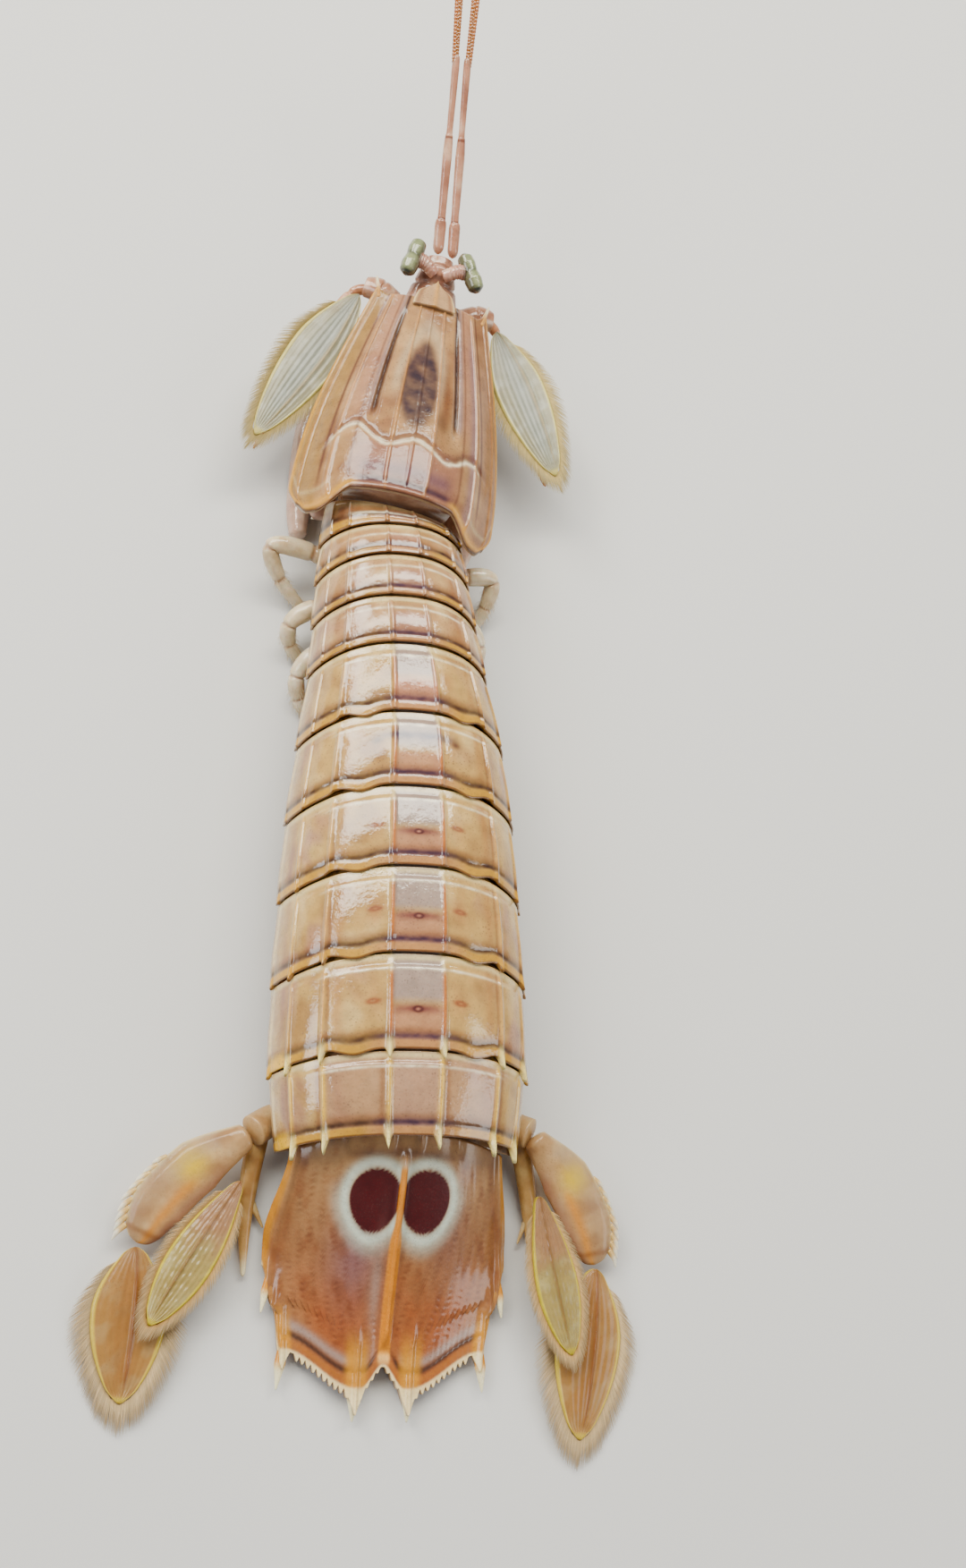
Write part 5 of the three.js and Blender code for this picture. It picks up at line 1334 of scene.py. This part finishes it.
# Striking claws
for name, s in (("left", -1), ("right", 1)):
    label = name.title()
    rings, t, g = tubeRings(
        [
            (s * 9.2, -0.6, 5.7, 1.0, 1.0), (s * 9.4, 1.5, 5.8, 2.0, 1.5), (s * 9.7, 8, 5.8, 2.6, 1.5),
            (s * 9.5, 17, 5.8, 2.6, 1.5), (s * 9.2, 25, 5.8, 2.1, 1.5), (s * 9.0, 28.6, 5.9, 1.4, 1.4),
        ],
        rows=110,
        sides=48,
        shape=lambda t, g: 1 - 0.06 * hump(np.sin(g), -1, 0.15) + 0 * t,
    )
    tint = barkTint(rings, "cfae9a", "ecd8c8", "a07a68", 81, 5.0)
    Gather().loft(rings, tint).make("clawArm" + label, clawMaterial, "claw", ["claw_arm_" + name], True)
    rings, t, g = tubeRings(
        [
            (s * 9.6, 32.2, 4.6, 1.4, 1.5), (s * 10.2, 30.4, 2.9, 1.9, 1.7), (s * 11.4, 25, 1.75, 1.9, 2.0),
            (s * 12.6, 14, 1.75, 2.2, 2.05), (s * 12.2, 3, 1.75, 1.8, 1.95), (s * 11.4, -2.4, 1.7, 1.2, 1.6),
        ],
        rows=130,
        sides=56,
        floor=0.0,
        shape=lambda t, g: 1 - 0.25 * hump(t, 0.235, 0.02) + 0 * g,
    )
    tint = barkTint(rings, "d2b4a0", "efdfd0", "a88070", 82, 5.0)
    tint = blendIn(tint, "c78a60", 0.7 * hump(t, 0.235, 0.03)[:, None] * np.ones(len(g)))
    palm = Gather().loft(rings, tint)
    # a comb of fine upright teeth along the palm's inner edge
    for k in range(34):
        y = 24.5 - k * 0.72
        x = s * (9.65 + 0.75 * math.sin((24.5 - y) / 24.5 * math.pi))
        spine = [(x + s * 0.5, y, 2.6, 0.2, 0.2), (x - s * 0.35, y, 2.9, 0.07, 0.07)]
        spike, t, g = tubeRings(spine, rows=6, sides=7)
        palm.loft(spike, linear("efe4cf"))
    palm.make("clawPalm" + label, clawMaterial, "claw", ["claw_palm_" + name], True)
    # the finger: a curved blade whose lower edge carries six long teeth
    x = np.linspace(0.02, 24.5, 420)
    back = 0.9 + 1.1 * np.sin(x / 26 * math.pi) - 0.6 * (x / 24) ** 3
    back = mix(back, -0.9, ramp(x, 22.6, 24.5))
    low = mix(-0.55, -0.1, ramp(x, 0, 5))
    for k in range(5):
        at = 20.4 - k * 4.1 + 0.85
        reach = 2.85 - 0.32 * k
        d = x - at
        low = low - reach * np.where(d < 0, np.clip(1 + d / 1.5, 0, 1) ** 1.6, np.clip(1 - d / 0.45, 0, 1))
    low = low - 1.2 * ramp(x, 22.6, 24.5) ** 1.4
    g = np.arange(20) / 20 * 2 * math.pi
    mid, span = (back + low) / 2, (back - low) / 2
    flatness = 0.52 * np.sqrt(np.clip(1 - ((x - 4) / 21) ** 2 * 0.6, 0.2, 1)) * ramp(x, 24.5, 23.5).clip(0.1, 1)
    across = -s * (mid[:, None] + span[:, None] * np.cos(g))
    height = 0.6 + flatness[:, None] * np.sin(g) * (0.55 + 0.45 * np.abs(np.sin(g)))
    rings = np.stack([across, np.broadcast_to(x[:, None], across.shape), height], -1)
    rings = rings + np.array([s * 6.7, -0.5, 0.4])
    toothy = ramp(mid[:, None] + span[:, None] * np.cos(g), -0.2, -1.6)
    tint = barkTint(rings, "d8c0ac", "f0e6da", "b08a74", 83, 4.0)
    tint = blendIn(tint, "faf6ec", 0.9 * toothy)
    Gather().loft(rings, tint).make("clawFinger" + label, limbMaterial, "limb", ["claw_finger_" + name], True)
    for k in range(3):
        y = 19 - 6.2 * k
        small = Gather()
        rings, t, g = tubeRings(
            [(s * 3.4, y - 2.4, 5.3, 0.9, 0.8), (s * 4.0, y, 4.3, 0.9, 0.8), (s * 3.5, y + 3.4, 3.3, 0.9, 0.8)],
            rows=40,
            sides=24,
        )
        small.loft(rings, barkTint(rings, "dcc6ae", "f0e4d2", "b49074", 84 + k, 2.5))
        rings, t, g = tubeRings(
            [(s * 3.4, y + 3.6, 3.1, 0.9, 0.8), (s * 2.4, y + 1.2, 2.2, 1.4, 0.8), (s * 1.8, y - 1.6, 1.8, 0.9, 0.6)],
            rows=40,
            sides=28,
        )
        small.loft(rings, barkTint(rings, "e0cbb4", "f2e8d8", "b89478", 87 + k, 2.5))
        hook, t, g = tubeRings(
            [
                (s * 2.2, y - 2.0, 1.8, 0.4, 0.35),
                (s * 1.2, y - 1.2, 1.6, 0.28, 0.25),
                (s * 1.3, y + 0.6, 1.5, 0.1, 0.1),
            ],
            rows=24,
            sides=12,
        )
        small.loft(hook, linear("f4ead6"))
        small.make("smallClaw%d" % (k + 1) + label, limbMaterial, "limb", ["small_claw_%d_%s" % (k + 1, name)], True)

# Walking legs
legHair = dict(count=150, radius=0.045, out=0.75, along=0.9)
stances = {
    "left": [
        [(-6.6, 79.0, 5.8), (-11.4, 80.8, 5.8), (-17.6, 81.2, 6.4), (-16.2, 77.8, 3.4), (-12.6, 74.8, 0.35)],
        [(-6.8, 73.4, 5.8), (-11.0, 73.0, 5.6), (-14.6, 70.8, 4.6), (-14.4, 68.6, 2.2), (-12.6, 66.8, 0.35)],
        [(-7.0, 67.0, 5.8), (-10.8, 66.4, 5.4), (-13.4, 63.6, 4.0), (-13.0, 60.8, 2.0), (-11.4, 58.6, 0.35)],
    ],
    "right": [
        [(4.8, 78.2, 5.8), (9.8, 79.4, 5.6), (14.0, 79.6, 5.0), (13.8, 76.4, 2.6), (12.2, 73.6, 0.35)],
        [(5.2, 73.0, 5.8), (9.4, 72.6, 5.4), (12.2, 70.2, 4.0), (12.0, 67.4, 2.0), (10.4, 65.2, 0.35)],
        [(5.8, 66.8, 5.8), (9.8, 66.0, 5.4), (12.4, 63.2, 4.0), (12.0, 60.4, 2.0), (10.4, 58.2, 0.35)],
    ],
}
for name, legs in stances.items():
    for k, stops in enumerate(legs):
        sizes = [1.3, 1.3, 1.15, 0.98, 0.72]
        rings, t, g = tubeRings(
            [(*p, r, r) for p, r in zip(stops, sizes)],
            rows=110,
            sides=28,
            floor=0.0,
            shape=lambda t, g: 1 + 0.1 * np.sin(t * 12.3) ** 2 - 0.16 * hump(t, 0.27, 0.012)
            - 0.18 * hump(t, 0.53, 0.012) - 0.16 * hump(t, 0.76, 0.012) + 0 * g,
        )
        tint = barkTint(rings, "e8dabc", "f6eedd", "c4a67c", 91 + k, 3.0)
        for at in (0.27, 0.53, 0.76):
            tint = blendIn(tint, "b98a68", 0.6 * hump(t, at, 0.014)[:, None] * np.ones(len(g)))
        Gather().loft(rings, tint).make(
            "walkingLeg%d" % (k + 1) + name.title(), limbMaterial, "limb", ["walking_leg_%d_%s" % (k + 1, name)]
        )
        rng = np.random.default_rng(17 * k + len(name))
        middle, along, side, top, size, tt = curveThrough([(*p, r, r) for p, r in zip(stops, sizes)], 200)
        pick = rng.integers(120, 198, legHair["count"])
        angle = rng.uniform(0, 2 * math.pi, legHair["count"])
        out = side[pick] * np.cos(angle)[:, None] + top[pick] * np.sin(angle)[:, None]
        roots = middle[pick] + out * size[pick, :1] * 0.85
        tips = roots + out * legHair["out"] + along[pick] * legHair["along"]
        roots[:, 2] = np.maximum(0.02, roots[:, 2])
        tips[:, 2] = np.maximum(0.05, tips[:, 2])
        tuft = "legHairs%d" % (k + 1) + name.title()
        makeHairs(tuft, roots, tips, legHair["radius"], "e8d6b4", "f6eeda", fringeMaterial)

# Swimming legs: paired paddles with a fringe, and tufts of gill threads at their roots
paddleFringe = dict(count=170, radius=0.05, reach=1.9)
gillTuft = dict(count=260, radius=0.085, shortest=1.0, longest=2.6)
for name, s in (("left", -1), ("right", 1)):
    for k in range(5):
        ring, ahead = trunk[5 - k], trunk[6 - k]
        y = mix(ring["y"], ahead["y"], 0.62)
        out = ring["w"] * 0.5
        paddle = Gather()
        rings, t, g = tubeRings(
            [
                (s * (out - 1.5), y, ring["belly"] - 1.5, 3.0, 1.0), (s * out, y - 1.2, 3.6, 3.8, 1.0),
                (s * (out + 0.6), y - 4.2, 1.5, 3.6, 0.8), (s * (out + 0.6), y - 6.6, 0.65, 3.0, 0.85),
                (s * (out + 0.6), y - 8.6, 0.6, 1.6, 0.8),
            ],
            rows=60,
            sides=44,
            floor=0.0,
        )
        paddle.loft(rings, barkTint(rings, "e0cdb4", "f4ebde", "bf9f84", 101 + k, 3.0))
        rings, t, g = tubeRings(
            [
                (s * (out - 3.4), y - 0.6, 4.2, 1.5, 0.9), (s * (out - 4.6), y - 4.2, 1.6, 1.6, 0.8),
                (s * (out - 4.4), y - 7.6, 0.7, 0.9, 0.7),
            ],
            rows=50,
            sides=28,
            floor=0.0,
        )
        paddle.loft(rings, barkTint(rings, "e4d2bc", "f4ebde", "c4a48a", 106 + k, 3.0))
        paddle.make(
            "swimmingLeg%d" % (k + 1) + name.title(), limbMaterial, "limb", ["swimming_leg_%d_%s" % (k + 1, name)]
        )
        rng = np.random.default_rng(200 + k)
        n = paddleFringe["count"]
        w = np.linspace(-1, 1, n)
        roots = np.stack([s * (out + 0.6) + w * 3.1, y - 5.2 - 3.2 * np.sqrt(1 - w**2 * 0.95), np.full(n, 0.75)], -1)
        tips = roots + np.stack([w * 1.2, -paddleFringe["reach"] + 0.4 * np.abs(w), rng.normal(-0.2, 0.12, n)], -1)
        tips[:, 2] = np.maximum(0.06, tips[:, 2])
        ending = "%d" % (k + 1) + name.title()
        thin = paddleFringe["radius"]
        makeHairs("paddleFringe" + ending, roots, tips, thin, "dcb888", "f4ead2", fringeMaterial, seed=k)
        n = gillTuft["count"]
        base = np.array([s * (out - 2.6), y - 1.6, 3.4])
        angle = rng.uniform(0, 2 * math.pi, n)
        reach = rng.uniform(gillTuft["shortest"], gillTuft["longest"], n)
        roots = base + np.stack([rng.normal(0, 0.9, n), rng.normal(0, 0.8, n), rng.normal(0, 0.25, n)], -1)
        hang = np.stack([np.cos(angle) * reach * 0.7, -np.abs(np.sin(angle)) * reach, -0.5 - 0.35 * reach], -1)
        tips = roots + hang
        tips[:, 2] = np.maximum(0.15, tips[:, 2])
        thin = gillTuft["radius"]
        makeHairs("gills" + ending, roots, tips, thin, "c98a78", "e6b8a4", fringeMaterial, seed=k)
print("limbs done")

# Floor, light and camera
setting = dict(
    floorReach=3,
    floorColour=(0.62, 0.62, 0.61, 1),
    floorRough=0.6,
    air=(0.9, 0.93, 1.0, 1),
    airStrength=0.3,
)
reach = setting["floorReach"]
floorMesh = bpy.data.meshes.new("floor")
corners = [(-reach, -reach, 0), (reach, -reach, 0), (reach, reach, 0), (-reach, reach, 0)]
floorMesh.from_pydata(corners, [], [(0, 1, 2, 3)])
floorObject = bpy.data.objects.new("floor", floorMesh)
bpy.context.scene.collection.objects.link(floorObject)
floorMaterial = bpy.data.materials.new("paleFloor")
floorMaterial.use_nodes = True
floorShader = floorMaterial.node_tree.nodes["Principled BSDF"]
floorShader.inputs["Base Color"].default_value = setting["floorColour"]
floorShader.inputs["Roughness"].default_value = setting["floorRough"]
floorMesh.materials.append(floorMaterial)


# A lit panel that faces the animal.
def areaLight(name, place, size, power, colour):
    data = bpy.data.lights.new(name, "AREA")
    data.shape = "RECTANGLE"
    data.size, data.size_y = size
    data.energy = power
    data.color = colour
    light = bpy.data.objects.new(name, data)
    light.location = place
    light.rotation_euler = (-Vector(place)).to_track_quat("-Z", "Y").to_euler()
    bpy.context.scene.collection.objects.link(light)


# place, width and height in metres, watts, colour
panels = dict(
    skyPanel=((-0.05, 0.36, 0.60), (1.1, 0.22), 12.0, (1.0, 0.96, 0.84)),
    keyLight=((-0.5, 0.60, 0.50), (0.3, 0.3), 4.5, (1.0, 0.96, 0.87)),
    sideLight=((-0.6, -0.05, 0.42), (0.3, 0.3), 2.2, (0.95, 0.97, 1.0)),
    fillLight=((0.65, -0.25, 0.45), (0.4, 0.4), 2.4, (1.0, 0.97, 0.93)),
)
for name, panel in panels.items():
    areaLight(name, *panel)
world = bpy.data.worlds.new("room")
world.use_nodes = True
background = world.node_tree.nodes["Background"]
background.inputs["Color"].default_value = setting["air"]
background.inputs["Strength"].default_value = setting["airStrength"]
bpy.context.scene.world = world

# The camera looks down on the tail end, turned so that the animal stands upright in the picture.
view = dict(
    place=(-52.51, -23.73, 244.1),
    pitch=67.78,
    yaw=41.72,
    roll=43.24,
    focalPixels=2088.9,
    imageHeight=1753.0,
)
filmHeight = 36.0
pitch, yaw, roll = (math.radians(view[k]) for k in ("pitch", "yaw", "roll"))
look = np.array([math.sin(yaw) * math.cos(pitch), math.cos(yaw) * math.cos(pitch), -math.sin(pitch)])
right = np.cross(look, [0, 0, 1.0])
right /= np.linalg.norm(right)
upward = np.cross(right, look)
right, upward = right * math.cos(roll) + upward * math.sin(roll), upward * math.cos(roll) - right * math.sin(roll)
camera = bpy.data.objects.new("camera", bpy.data.cameras.new("camera"))
bpy.context.scene.collection.objects.link(camera)
camera.data.sensor_fit = "VERTICAL"
camera.data.sensor_height = filmHeight
camera.data.lens = view["focalPixels"] / view["imageHeight"] * filmHeight
camera.data.clip_start = 0.01
place = (np.array(view["place"]) + shift) / 1000
turns = np.stack([right, upward, -look], 1).tolist()
camera.matrix_world = Matrix([[*row, p] for row, p in zip(turns, place.tolist())] + [[0, 0, 0, 1]])
bpy.context.scene.camera = camera
print("stage done")
